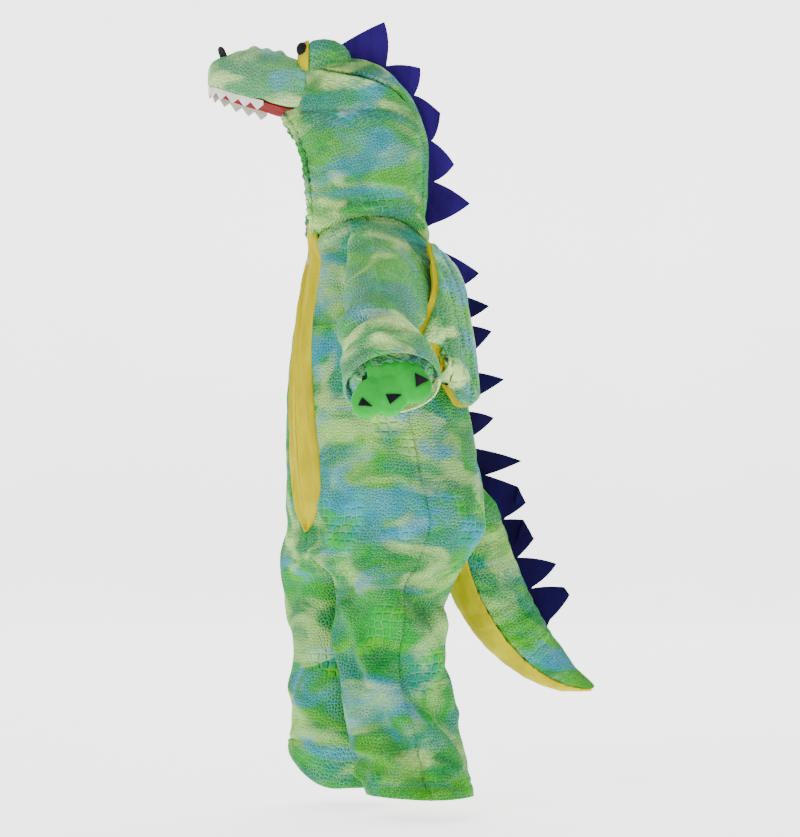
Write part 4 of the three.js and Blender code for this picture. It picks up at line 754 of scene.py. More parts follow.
def grid_piece(name, points, inside, finish, thick=CLOTH_MM, ring=False, waves=1.0, tuck=1.4,
               tuck_wide=5.0, extra=None):
    """A shell of cloth on a grid of points in mm, rows by columns. A ring closes on its first column."""
    if ring:
        points = np.concatenate([points, points[:, :1]], axis=1)
    normal = normals_of(points, inside)
    if ring:
        middle = normal[:, 0] + normal[:, -1]
        middle /= np.linalg.norm(middle, axis=-1, keepdims=True)
        normal[:, 0], normal[:, -1] = middle, middle
    along = lengths(points, 1)
    move = ripple(points, waves)
    if extra is not None:
        move = move + (np.concatenate([extra, extra[:, :1]], axis=1) if ring else extra)
    if tuck and not ring:
        edge = np.minimum(along, along[:, -1:] - along)
        move = move - tuck * np.exp(-((edge / tuck_wide) ** 2))
    shaped = points + normal * move[..., None]
    down = lengths(points, 0).mean(axis=1, keepdims=True)
    middle = along[:, [points.shape[1] // 2]]
    uv = np.stack([along - middle, np.broadcast_to(-down, along.shape)], -1)
    corners, faces = grid_faces(*points.shape[:2], ring)
    loops = np.stack([uv[r, c] for r, c in corners], -2).reshape(-1, 2) * MM
    a, b, c = (shaped.reshape(-1, 3)[faces[:, k]] for k in (0, 1, 2))
    quad_normal = np.cross(b - a, c - a)
    outward = (quad_normal * normal[:-1, :-1].reshape(-1, 3)).sum()
    piece = mesh_piece(name, shaped.reshape(-1, 3) * MM, faces, loops, finish, flip=outward < 0)
    if ring:
        loose = bmesh.new()
        loose.from_mesh(piece.data)
        bmesh.ops.delete(loose, geom=[v for v in loose.verts if not v.link_faces], context="VERTS")
        loose.to_mesh(piece.data)
        loose.free()
    if thick:
        apply(piece, "SOLIDIFY", thickness=thick * MM, offset=-1, use_rim=True)
    measured[name] = cut_size(points)
    return piece


def dress(piece, nodes, held=None, ease=1.0):
    """Lets a piece stand for its solids and ride on the costume."""
    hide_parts(*nodes)
    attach(piece, "costume")
    if held:
        width, length, area = measured[piece.name]
        width, length, area = width * ease, length, area * ease
    return piece


print("panel tools ready")

# %% [markdown]
# ## The body
# Each half of the body has a front and a back panel, which meet at the side seam and round the armhole. The
# rows stand close together there, so that the curved edge of the armhole stays smooth. The yellow leaf lies
# between the two front panels and ends in a point, and the zip runs down its middle.

# %% Rows and edges of the panels
SEAM_GIRTH = GAP / 2 / GIRTH_MM


def body_rows():
    around = ARMHOLE["z"] + ARMHOLE["high"] * np.cos(np.linspace(0, np.pi, 26))
    below = np.linspace(around[-1], ZIP_END_Z, 54)[1:]
    tip = np.linspace(ZIP_END_Z, BELLY_TIP_Z, 9)[1:]
    return np.concatenate([np.linspace(NECK_TOP_Z, around[0], 10)[:-1], around, below, tip,
                           np.linspace(BELLY_TIP_Z, HEM_Z, 84)[1:]])


def side_edge(z, forward):
    share = np.clip((z - ARMHOLE["z"]) / ARMHOLE["high"], -1, 1)
    reach = ARMHOLE["wide"] * np.sqrt(1 - share**2) + SEAM_GIRTH
    return ARMHOLE["girth"] + (-reach if forward else reach)


def girth_at(width, z):
    share = np.minimum(1, width / read(TRUNK, "half", z))
    return np.arcsin(share ** (read(TRUNK, "square", z) / 2)) / (np.pi / 2)


def belly_half(z):
    return np.where(z < BELLY_TIP_Z, 0, read(BELLY, "half", z))


def trunk_middle(z):
    return np.stack([np.zeros_like(z), read(TRUNK, "mid", z), z], -1)[:, None]


def leg_inside(side, z):
    """A line inside each half of the body, so that a panel knows which way is out."""
    turn = np.radians(read(TRUNK, "turn", z))
    apart = 50 * smooth((-360 - z) / 100)
    s = side * apart
    return np.stack([s * np.cos(turn), read(TRUNK, "mid", z) + s * np.sin(turn), z], -1)[:, None]


ROWS, COLUMNS = body_rows(), 46
print("rows in a panel", len(ROWS))

# %% Front and back panels
for side, word in SIDES.items():
    z = ROWS[:, None]
    start = np.where(z >= BELLY_TIP_Z, girth_at(belly_half(z) + GAP, z), 0)
    share = np.linspace(0, 1, COLUMNS)[None]
    inside = leg_inside(side, ROWS)
    hem = -2.2 * np.exp(-(((z - HEM_STITCH_Z) / 2.2) ** 2)) + 1.6 * smooth((HEM_STITCH_Z - z) / 6)
    hem = np.broadcast_to(hem - 4.5 * smooth((z - 1) / 9), (len(ROWS), COLUMNS))
    front = body(side, mix(start, side_edge(z, True), share), z + 0 * share)
    piece = grid_piece("front_cloth_" + word, front, inside, plush_body, extra=hem, tuck=1.0, tuck_wide=4)
    dress(piece, ["front_" + word], held="hung", ease=1.04)
    back = body(side, mix(side_edge(z, False), 2 + 0 * z, share), z + 0 * share)
    piece = grid_piece("back_cloth_" + word, back, inside, plush_body, extra=hem, tuck=1.0, tuck_wide=4)
    dress(piece, ["back_" + word], held="hung", ease=1.04)
    print(word, "front cut", [round(v, 3) for v in measured["front_cloth_" + word]])

# %% The yellow leaf
for side, word in SIDES.items():
    rows = ROWS[ROWS >= BELLY_TIP_Z - 0.01]
    z = rows[:, None]
    beside = ZIP_HALF_GAP_MM + 2.4 * np.exp(-(((z + 23) / 11) ** 4))
    inner = np.where(z >= ZIP_END_Z, beside, GAP / 2)
    share = np.linspace(0, 1, 15)[None]
    leaf = body(side, girth_at(mix(inner, np.maximum(belly_half(z), inner + 0.05), share), z), z + 0 * share)
    folds = (4.4 * np.sin(5.2 * share + z / 61 + side) * smooth((8 - z) / 60)
             + 1.8 * np.sin(9.1 * share - z / 37) * smooth((-40 - z) / 80))
    wide = np.linalg.norm(leaf[:, -1] - leaf[:, 0], axis=-1)[:, None]
    over_zip = 2.9 * np.exp(-((share * wide / 4.5) ** 2)) * smooth((z - ZIP_END_Z) / 20)
    sewn = -1.2 * np.exp(-(((1 - share) * wide / 3.5) ** 2))
    piece = grid_piece("belly_cloth_" + word, leaf, trunk_middle(rows), yellow_velvet, waves=0.7, tuck=0,
                       extra=folds * np.sin(np.pi * share) + over_zip + sewn)
    dress(piece, ["belly_" + word], held="hung", ease=1.04)
print("leaf cut", [round(v, 3) for v in measured["belly_cloth_left"]])

# %% [markdown]
# ## The sleeves
# A sleeve is a tube along a line that bends at the elbow. It starts on the edge of the armhole and turns
# into a round section on the way down. The cloth bunches on the inside of the elbow, and the wide cuff is
# turned in.

# %% The line of a sleeve
SLEEVE_LINES = {
    LEFT: {"elbow": (176, 16, -128), "cuff": (236, 27, -192)},
    RIGHT: {"elbow": (-172, -32, -132), "cuff": (-226, -28, -190)},
}


def sleeve_line(side, v):
    """Points along a sleeve, on a curve through the armhole, the elbow and the cuff."""
    hole = body(side, ARMHOLE["girth"], float(ARMHOLE["z"]))
    p = [hole] + [np.array(SLEEVE_LINES[side][k], float) for k in ("elbow", "cuff")]
    p = [2 * p[0] - p[1], *p, 2 * p[2] - p[1]]
    v = np.asarray(v, float)
    out = np.zeros(v.shape + (3,))
    for k in (0, 1):
        steps = [np.linalg.norm(p[k + i + 1] - p[k + i]) ** 0.5 for i in range(3)]
        x0, x1, x2, x3 = p[k:k + 4]
        d0, d1, d2 = steps
        t1 = ((x1 - x0) / d0 - (x2 - x0) / (d0 + d1) + (x2 - x1) / d1) * d1
        t2 = ((x2 - x1) / d1 - (x3 - x1) / (d1 + d2) + (x3 - x2) / d2) * d1
        w = (2 * v - k)[..., None]
        curve = x1 + t1 * w + (-3 * x1 + 3 * x2 - 2 * t1 - t2) * w**2 + (2 * x1 - 2 * x2 + t1 + t2) * w**3
        inside = (v >= 0.5) if k else (v < 0.5)
        out[inside] = curve[inside]
    return out


def unit(a):
    return a / np.maximum(np.linalg.norm(a, axis=-1, keepdims=True), 1e-9)


print("left elbow", np.round(sleeve_line(LEFT, np.array([0.5])))[0])

# %% Folds of a sleeve
SLEEVE_FOLDS = [
    # share of the sleeve, width, rise, turn of the middle from the top in degrees, slant
    (0.42, 0.05, -5, 60, 0.02), (0.52, 0.06, 6, 70, 0.03), (0.64, 0.045, -8, 40, -0.06),
    (0.34, 0.028, -5, 95, 0.05), (0.47, 0.025, -5, 140, -0.04), (0.58, 0.026, -6, 90, 0.05),
    (0.72, 0.04, 5, 30, 0.06), (0.25, 0.035, 3.5, 150, 0.08), (0.5, 0.035, -5, -60, 0.05),
    (0.38, 0.035, 4, -50, -0.05), (0.62, 0.03, -4, -100, 0.04), (0.76, 0.025, -4, 120, 0.03),
    (0.81, 0.022, -5, -20, -0.04), (0.3, 0.03, -5, -80, 0.08), (0.2, 0.03, -4, -70, 0.07),
    (0.88, 0.03, 4, 20, 0.05), (0.9, 0.03, -3, 75, 0.04), (0.87, 0.03, -4, -65, -0.05),
]
REAR_FLAT_MM = 15


def sleeve_folds(turn, v):
    """How far the folds lift the cloth of a sleeve. Its rear is flat, where a wing lies on it."""
    rise = np.zeros(np.broadcast(turn, v).shape)
    for at, wide, high, middle, slant in SLEEVE_FOLDS:
        angle = np.radians(turn - middle)
        near = np.exp(-(((v + slant * np.sin(angle) - at) / wide) ** 2))
        rise = rise + high * near * np.clip(np.cos(angle), 0, 1)
    rear = np.clip(np.cos(np.radians(turn + 90)), 0, 1) * np.exp(-(((v - 0.5) / 0.28) ** 2))
    return rise - REAR_FLAT_MM * rear


print("folds of a sleeve:", len(SLEEVE_FOLDS))


# %% The surface of a sleeve
CUFF_TURN = 8


def outside_body(side, points, clear):
    """Moves points sideways until they are clear of the trunk."""
    z = points[..., 2]
    turn, mid = np.radians(read(TRUNK, "turn", z)), read(TRUNK, "mid", z)
    x, y = points[..., 0], points[..., 1] - mid
    s, t = side * (x * np.cos(turn) + y * np.sin(turn)), x * np.sin(turn) - y * np.cos(turn)
    square = read(TRUNK, "square", z)
    depth = np.where(t > 0, read(TRUNK, "front", z), read(TRUNK, "back", z))
    edge = read(TRUNK, "half", z) * (1 - np.minimum(1, np.abs(t) / depth) ** square) ** (1 / square) + clear
    moved = turned(TRUNK, z, side, edge, t)
    return np.where(((s < edge) & (clear > 0))[..., None], moved, points)


def sleeve(side, turn, v):
    """A point of a sleeve, at a turn in degrees from its top and a share of its length."""
    turn, v = np.broadcast_arrays(np.asarray(turn, float), np.asarray(v, float))
    direction = unit(sleeve_line(side, np.clip(v + 1e-3, 0, 1)) - sleeve_line(side, np.clip(v - 1e-3, 0, 1)))
    up = np.array([0, 0, 1.0])
    top = unit(up - direction * (direction @ up)[..., None])
    forward = np.cross(direction, top) * side
    radius = (read(SLEEVE, "radius", v) + sleeve_folds(turn, v))[..., None]
    cosine, sine = (f(np.radians(turn))[..., None] for f in (np.cos, np.sin))
    tube = sleeve_line(side, v) + radius * (top * cosine + forward * sine)
    above = cosine[..., 0] > 0
    corner = np.where(above, 0.72, 1.0)
    high = np.where(above, ARMHOLE["high"] + 14, ARMHOLE["high"])
    girth = ARMHOLE["girth"] - ARMHOLE["wide"] * power(sine[..., 0], corner)
    hole = body(side, girth, ARMHOLE["z"] + high * power(cosine[..., 0], corner))
    blend = smooth(v / 0.5)[..., None]
    points = mix(hole + direction * v[..., None] * 60, tube, blend)
    flap = 12 * smooth((v - 0.84) / 0.16) * np.clip(np.cos(np.radians(turn - CUFF_TURN)), 0, 1)
    points = points + direction * flap[..., None]
    return outside_body(side, points, 0.5 + np.minimum(1.5, v * 15))


print("left cuff, upper edge:", np.round(sleeve(LEFT, 0, 1.0)))

# %% [markdown]
# A ruffle is gathered inside each cuff. At the top it follows the cuff and reaches further out, and
# elsewhere it is drawn in.

# %% Sleeves and wrist ruffles
for side, word in SIDES.items():
    v = np.linspace(0, 1, 74)[:, None]
    turn = np.linspace(0, 360, 73)[None, :-1]
    grid = sleeve(side, turn, v)
    middle = grid.mean(axis=1, keepdims=True)
    cuff = 4.2 * smooth((v - 0.93) / 0.05) - 2.4 * np.exp(-(((v - 0.925) / 0.01) ** 2)) + 0 * turn
    cuff = cuff + 2.4 * np.sin(np.radians(turn * 3) + 14 * v) * smooth((v - 0.86) / 0.1)
    piece = grid_piece("sleeve_cloth_" + word, grid, middle, plush_limb, ring=True, extra=cuff)
    dress(piece, ["sleeve_" + word], held="hung", ease=1.04)

    v = np.linspace(0, 1, 13)[:, None]
    turn = np.linspace(0, 360, 145)[None, :-1]
    rim = sleeve(side, turn, 0.955 + 0 * v)
    centre = rim.mean(axis=1, keepdims=True)
    wrist = unit(sleeve_line(side, np.array(1.0)) - sleeve_line(side, np.array(0.9)))
    over = np.clip(np.cos(np.radians(turn - CUFF_TURN)), 0, 1)[..., None] ** 0.5
    pleats = 0.05 * np.sin(np.radians(turn * 17))[..., None] * np.sin(np.pi * v)[..., None]
    gather = 1 - v[..., None] * mix(0.42, 0.04, over) - pleats
    wave = (2.3 * np.sin(np.radians(turn * 23) + 2 * v) * v)[..., None]
    strip = centre + (rim - centre) * 0.9 * gather + wrist * (v[..., None] * mix(8, 17, over) + wave)
    piece = grid_piece("wrist_ruffle_" + word, strip, centre, plush_limb, thick=0.8, ring=True, waves=0)
    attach(piece, "costume")
    width, length, area = measured[piece.name]
print("sleeve cut", [round(x, 3) for x in measured["sleeve_cloth_left"]])

# %% [markdown]
# ## The hood
# The hood is two side panels and a crown strip of two halves. Where the crown strip runs forward to the
# eyes, the cloth of the side panel is gathered into it, which makes a deep dark tuck. Elastic in the
# binding gathers the edge of the face opening, so short folds run back from it, and the weight of the snout
# pulls longer ones.

# %% Folds and gathers of the hood
HOOD_FOLDS = [
    # side, angle and height of one end, angle and height of the other, width in mm, rise
    (LEFT, 30, 212, 105, 184, 7, 5), (LEFT, 40, 190, 100, 150, 14, 3.5), (LEFT, 60, 170, 88, 92, 15, -3.5),
    (LEFT, 42, 120, 100, 66, 16, 4), (LEFT, 50, 60, 150, 84, 10, -4), (LEFT, 60, 34, 150, 52, 9, -6),
    (LEFT, 55, 18, 140, 26, 10, 5), (LEFT, 120, 140, 150, 60, 12, -3), (LEFT, 100, 120, 130, 40, 16, 3),
    (RIGHT, 30, 212, 105, 184, 7, 5), (RIGHT, 40, 186, 96, 148, 14, 3.5), (RIGHT, 64, 160, 86, 84, 14, -3.5),
    (RIGHT, 44, 112, 104, 70, 16, 4), (RIGHT, 55, 64, 150, 80, 10, -4), (RIGHT, 60, 34, 150, 48, 9, -6),
    (RIGHT, 118, 132, 150, 66, 12, -3),
]
FACE_GATHERS = [152, 141, 129, 116, 104, 91, 79, 66, 54, 41, 30, 19]
NECK_Z, TUCK_Z, SEAM_END_Z, HOOD_TOP_Z = 8.3, 172, 228, 240.5
print("gathers along the face opening:", len(FACE_GATHERS))


# %% The surface of the hood
def hood(side, angle, z):
    """A point of the hood, at an angle in degrees from the front and at a height."""
    s, t = oval(HOOD, z, angle)
    return turned(HOOD, z, side, np.maximum(s, GAP / 2), t, height=z + neck_line(angle / 90, z))


def open_angle(z):
    """Where the edge of the face opening stands, as an angle from the front."""
    share = np.minimum(1, read(HOOD, "open", z) / read(HOOD, "half", z))
    beside = np.degrees(np.arcsin(share ** (read(HOOD, "square", z) / 2)))
    return np.where(z >= OPEN_TOP_Z, 0.5, np.maximum(0.5, beside))


def crown_gap(z):
    return np.where(z > 165, 0.75, 0.14)


def hood_inside(z):
    """A line inside the hood, so that a panel knows which way is out."""
    return np.stack([np.zeros_like(z), read(HOOD, "mid", z), np.minimum(z, 190)], -1)[:, None]


def side_angles(z, columns):
    """The columns of a side panel, from the face opening to the seam with the crown."""
    start = open_angle(z)
    end = np.maximum(read(CROWN_SEAM, "angle", z) - crown_gap(z), start + 0.3)
    return mix(start, end, np.linspace(0, 1, columns)[None])


lower = np.concatenate([np.linspace(NECK_Z, 156, 44), np.linspace(156, OPEN_TOP_Z, 6)[1:],
                        np.linspace(OPEN_TOP_Z, SEAM_END_Z, 38)[1:]])
upper = np.concatenate([lower, HOOD_TOP_Z - 12.5 * np.linspace(1, 0, 14)[1:] ** 2])
print("rows of a side", len(lower), "rows of the crown", len(upper))


# %% Hood panels
def ring_fold(z, at, wide):
    """A soft ridge all round the hood at one height, 1 at its middle."""
    return np.exp(-(((z - at) / wide) ** 2))


for side, word in SIDES.items():
    z = lower[:, None]
    angle = side_angles(z, 52)
    grid = hood(side, angle, z)
    away = (angle - open_angle(z)) * 1.45
    gathers = np.zeros_like(grid[..., 0])
    for k, at in enumerate(FACE_GATHERS):
        reach = 15 + 9 * math.sin(2.3 * k + side)
        line = np.exp(-(((z + (0.25 + 0.1 * math.sin(k)) * away - at) / 3.4) ** 2))
        gathers += 2.6 * line * np.exp(-((away / reach) ** 2)) * np.where(z < OPEN_TOP_Z, 1, 0)
    near_seam = (read(CROWN_SEAM, "angle", z) - angle) * 1.35
    tuck = -19 * smooth((z - TUCK_Z) / 20) * np.exp(-((near_seam / 9) ** 2))
    tuck = tuck + 5 * smooth((z - TUCK_Z) / 20) * np.exp(-(((near_seam - 24) / 10) ** 2))
    base = 4.5 * ring_fold(z, 19, 8) - 3 * ring_fold(z, NECK_Z, 5)
    base = base - 3 * ring_fold(z, 31, 6) * smooth((angle - 40) / 30)
    extra = gathers + tuck + base + fold_rise(HOOD_FOLDS, side, angle, z, 1.45)
    piece = grid_piece("hood_side_cloth_" + word, grid, hood_inside(lower), plush_hood, extra=extra, tuck=1.6)
    dress(piece, ["hood_side_" + word], held="hung", ease=1.05)

    z = upper[:, None]
    over = z > SEAM_END_Z
    start = np.where(over, 0, read(CROWN_SEAM, "angle", z) + crown_gap(z))
    angle = mix(start, 180, np.linspace(0, 1, 25)[None])
    grid = hood(side, angle, z)
    base = mix(4.5, 1.5, smooth((angle - 115) / 35)) * ring_fold(z, 19, 8)
    base = base - 3 * ring_fold(z, NECK_Z, 5) - 2 * ring_fold(z, 34, 6)
    near_seam = np.exp(-(((angle - start) * 1.2 - 8) / 5) ** 2)
    ridge = 5 * near_seam * smooth((z - 180) / 15) * np.where(over, 0, 1)
    piece = grid_piece("hood_crown_cloth_" + word, grid, hood_inside(upper), plush_hood, extra=base + ridge,
                       tuck=1.6)
    dress(piece, ["hood_crown_" + word], held="hung", ease=1.04)
print("hood side cut", [round(x, 3) for x in measured["hood_side_cloth_left"]])

# %% [markdown]
# ## The binding round the face opening
# The binding is a strip of plush that is folded over elastic. It is made as a ring of sections along the
# edge of the opening. The radius swells and shrinks quickly along it, which gives the look of gathers.

# %% Lines and rings
def smooth_line(points, count):
    """Evenly spaced points on a smooth curve through some points."""
    points = np.asarray(points, float)
    reach = np.concatenate([[0], np.cumsum(np.linalg.norm(np.diff(points, axis=0), axis=1))])
    at = np.linspace(0, reach[-1], count)
    rows = {"d": reach, **{str(k): points[:, k] for k in range(3)}}
    return np.stack([read(rows, str(k), at) for k in range(3)], -1)


def ring_tube(line, radius, sides):
    """Rings of points round a line, one row for each point of it."""
    ahead = unit(np.gradient(line, axis=0))
    first = unit(np.cross(ahead, np.array([0.0, 1.0, 0.05])))
    second = np.cross(ahead, first)
    a = np.linspace(0, 2 * np.pi, sides + 1)[None, :-1, None]
    size = np.asarray(radius, float)[:, None, None]
    return line[:, None] + size * (first[:, None] * np.cos(a) + second[:, None] * np.sin(a))


print("heights on a line through three points:", smooth_line([(0, 0, 0), (1, 0, 1), (2, 0, 0)], 5)[:, 2])

# %% Face binding
BINDING_MM, BINDING_RINGS = 4.2, 240
heights = np.array([12, 30, 50, 72, 98, 122, 140, 150, 157.0])
halves = {}
for side in SIDES:
    angle = open_angle(heights)
    edge, back = hood(side, angle, heights), hood(side, angle + 4, heights)
    halves[side] = edge + unit(edge - back) * (BINDING_MM + 0.2)
crest = hood(LEFT, 0.5, np.array([float(OPEN_TOP_Z)])) + np.array([0, 4, -BINDING_MM - 1])
crest[:, 0] = 0
line = smooth_line(np.concatenate([halves[LEFT], crest, halves[RIGHT][::-1]]), BINDING_RINGS)
steps = np.arange(BINDING_RINGS)
puckers = 1 + 0.2 * np.sin(steps * 1.05) + 0.1 * np.sin(steps * 2.7) + 0.16 * np.sin(steps * 0.43 + 1)
rings = ring_tube(line, BINDING_MM * puckers, 14)
piece = grid_piece("face_binding_cloth", rings, line[:, None], plush_hood, thick=1.2, ring=True, waves=0,
                   tuck=0)
dress(piece, ["face_binding"], held="gathered", ease=1.0)
print("binding length", round(float(lengths(rings, 0)[-1].max())), "mm")

# %% [markdown]
# ## Stuffed pieces
# The snout, eyelids, eyes, tail and paws are stuffed or foam. Their solids already have the right shape,
# only with flat facets. A copy of the solid is merged, remeshed in small even cells and smoothed, which
# rounds the facets off as stuffing does. Seams and channels are pressed in afterwards, because a remesh
# would erase them.

# %% Softened copies of solids
def softened(name, node, finish, cell=0, passes=0, uv=None, press=None):
    """A smooth copy of a solid: remeshed in cells of some mm, smoothed in passes, then pressed."""
    piece = bpy.data.objects.new(name, frame["nodes"][node].data.copy())
    bpy.context.scene.collection.objects.link(piece)
    bpy.ops.object.select_all(action="DESELECT")
    piece.select_set(True)
    bpy.context.view_layer.objects.active = piece
    piece.data.name = name
    bpy.ops.object.mode_set(mode="EDIT")
    bpy.ops.mesh.select_all(action="SELECT")
    bpy.ops.mesh.remove_doubles(threshold=1e-5)
    bpy.ops.object.mode_set(mode="OBJECT")
    if cell:
        apply(piece, "REMESH", mode="VOXEL", voxel_size=cell * MM, use_smooth_shade=True)
        apply(piece, "SMOOTH", factor=0.5, iterations=passes)
    count = len(piece.data.vertices)
    co, no = np.zeros(count * 3, np.float32), np.zeros(count * 3, np.float32)
    piece.data.vertices.foreach_get("co", co)
    piece.data.vertex_normals.foreach_get("vector", no)
    points, normal = co.reshape(-1, 3) * 1000.0, no.reshape(-1, 3).astype(float)
    if press is not None:
        moved = points + normal * press(points)[:, None]
        piece.data.vertices.foreach_set("co", (moved * MM).astype(np.float32).ravel())
    if uv is not None:
        layers = piece.data.uv_layers
        layer = layers[0] if layers else layers.new(name="cloth")
        corner = np.zeros(len(piece.data.loops), np.int32)
        piece.data.loops.foreach_get("vertex_index", corner)
        layer.data.foreach_set("uv", (uv(points)[corner] * MM).astype(np.float32).ravel())
    piece.data.materials.clear()
    piece.data.materials.append(finish)
    piece.data.polygons.foreach_set("material_index", [0] * len(piece.data.polygons))
    piece.data.polygons.foreach_set("use_smooth", [True] * len(piece.data.polygons))
    piece.hide_render = piece.hide_viewport = False
    piece.data.update()
    print(name, "vertices", count)
    return piece


STUFFED = ("snout", "eye", "pupil", "tail", "paw")
print("stuffed solids:", sum(name.startswith(STUFFED) for name in frame["nodes"]))


# %% Snout with its knobs
def snout_uv(p):
    turn = np.arctan2(p[:, 0], p[:, 2] - 165)
    return np.stack([-p[:, 1], turn * 58], -1)


def snout_press(p):
    """A seam down the middle of the top, soft dents behind the knobs, and small waves."""
    x, y, z = p.T
    seam = -1.6 * np.exp(-((x / 3) ** 2)) * smooth((z - 215) / 12) * smooth((-y - 165) / 12)
    sides = -1.8 * np.exp(-(((y + 150 + 0.35 * (z - 200)) / 6) ** 2)) * smooth((np.abs(x) - 35) / 10)
    return seam + sides + ripple(p, 1.1)


piece = softened("snout_plush", "snout", plush_snout, 2.4, 10, uv=snout_uv, press=snout_press)
dress(piece, ["snout"])

# %% Eyes
for side, word in SIDES.items():
    lid = softened(
        "eyelid_plush_" + word, "eyelid_" + word, plush_hood, 1.4, 8, press=lambda p: ripple(p, 0.7),
        uv=lambda p: np.stack([-p[:, 1], np.arctan2(p[:, 0] * side - 36, p[:, 2] - 215) * 24], -1))
    dress(lid, ["eyelid_" + word])
    ball = softened("eyeball_velvet_" + word, "eyeball_" + word, yellow_velvet, 0.9, 8)
    dress(ball, ["eyeball_" + word])
    pupil = softened("pupil_felt_" + word, "pupil_" + word, black_felt, 0.6, 8)
    dress(pupil, ["pupil_" + word])

# %% [markdown]
# ## The tail
# The tail is a stuffed bag of plush with a yellow velvet strip along its underside. Its solids are softened
# in the same way. Stuffing bunches where the bag bends, so shallow channels cross it, closer together
# towards the tip.

# %% The line of the tail
tail_centres = np.stack([TAIL["x"], TAIL["y"], TAIL["z"]], -1)
tail_line = smooth_line(tail_centres, 160)
tail_reach = np.concatenate([[0], np.cumsum(np.linalg.norm(np.diff(tail_line, axis=0), axis=1))])


def along_tail(p):
    """How far along the tail each point is, and its angle from the top, in radians."""
    nearest = np.array([np.argmin(((tail_line - q) ** 2).sum(1)) for q in p])
    ahead = unit(np.gradient(tail_line, axis=0))[nearest]
    aside = unit(np.cross(ahead, np.array([0, 0, 1.0])))
    top = np.cross(aside, ahead)
    off = p - tail_line[nearest]
    return tail_reach[nearest], np.arctan2((off * aside).sum(1), (off * top).sum(1))


print("tail", round(float(tail_reach[-1])), "mm long")

# %% Tail
TAIL_CHANNELS = [70, 98, 128, 152, 178, 200, 222, 243, 262]


def tail_uv(p):
    along, turn = along_tail(p)
    return np.stack([along, turn * 42], -1)


def tail_press(p):
    along, turn = along_tail(p)
    channels = np.zeros(len(p))
    for k, at in enumerate(TAIL_CHANNELS):
        slant = at + 9 * np.cos(turn + 0.6 * math.sin(k))
        channels -= (1.5 + 0.5 * math.sin(1.7 * k)) * np.exp(-(((along - slant) / 5) ** 2))
    return channels * (0.4 + 0.6 * np.abs(np.sin(turn))) + ripple(p, 0.8)


piece = softened("tail_plush", "tail_top", plush_body, 2.2, 5, uv=tail_uv, press=tail_press)
dress(piece, ["tail_top"])
piece = softened("tail_velvet", "tail_under", yellow_velvet, 2.0, 4,
                 press=lambda p: 0.5 * tail_press(p) + 0.9)
dress(piece, ["tail_under"])

# %% [markdown]
# ## The wings
# Each small wing is a flat pad in two colours, sewn to the back beside the spikes. It follows the back
# round, stands further off it towards its tip, and ends at the rear of the sleeve. Sewn channels run from
# the top down to the points of its lower edge, and the pad swells between them. The yellow lining puffs out
# past the plush at the near edge.

# %% How a wing lies and how a pad is closed
WING_WIDE, WING_ROOT_ANGLE, WING_PER_MM = 146, 12, 0.53
CHANNELS = [22, 48, 72, 96, 120]


def wing_sheet(side, w, z, off):
    """A point of the wing: w round the back from its root, at a height, and so far out of its middle."""
    points = body(side, 2 - (WING_ROOT_ANGLE + w * WING_PER_MM) / 90, z)
    outwards = normals_of(points, trunk_middle(z[:, 0]))
    middle = points + outwards * read(WING_STANDS, "off", w)[..., None]
    return middle + outwards * off[..., None]


def closed_pad(name, front, back, finish, uv):
    """A closed pad from two grids of points that share their outline."""
    rows, columns = front.shape[:2]
    verts = np.concatenate([front.reshape(-1, 3), back.reshape(-1, 3)])
    corners, top = grid_faces(rows, columns)
    under = top[:, ::-1] + rows * columns
    loops = np.stack([uv[r, c] for r, c in corners], -2).reshape(-1, 4, 2)
    edge = list(range(columns)) + [r * columns + columns - 1 for r in range(1, rows)]
    edge += [(rows - 1) * columns + c for c in range(columns - 2, -1, -1)]
    edge += [r * columns for r in range(rows - 2, 0, -1)]
    flat = uv.reshape(-1, 2)
    rim, rim_uv = [], []
    for a, b in zip(edge, edge[1:] + edge[:1]):
        rim.append((b, a, a + rows * columns, b + rows * columns))
        rim_uv.append([flat[b], flat[a], flat[a], flat[b]])
    faces = np.concatenate([top, under, np.array(rim)])
    all_uv = np.concatenate([loops, loops[:, ::-1], np.array(rim_uv)]).reshape(-1, 2) * MM
    piece = mesh_piece(name, verts * MM, faces, all_uv, finish)
    shape = bmesh.new()
    shape.from_mesh(piece.data)
    if shape.calc_volume(signed=True) < 0:
        bmesh.ops.reverse_faces(shape, faces=shape.faces)
    shape.to_mesh(piece.data)
    shape.free()
    return piece


print("a wing is", WING_WIDE, "mm wide, with", len(CHANNELS), "channels")

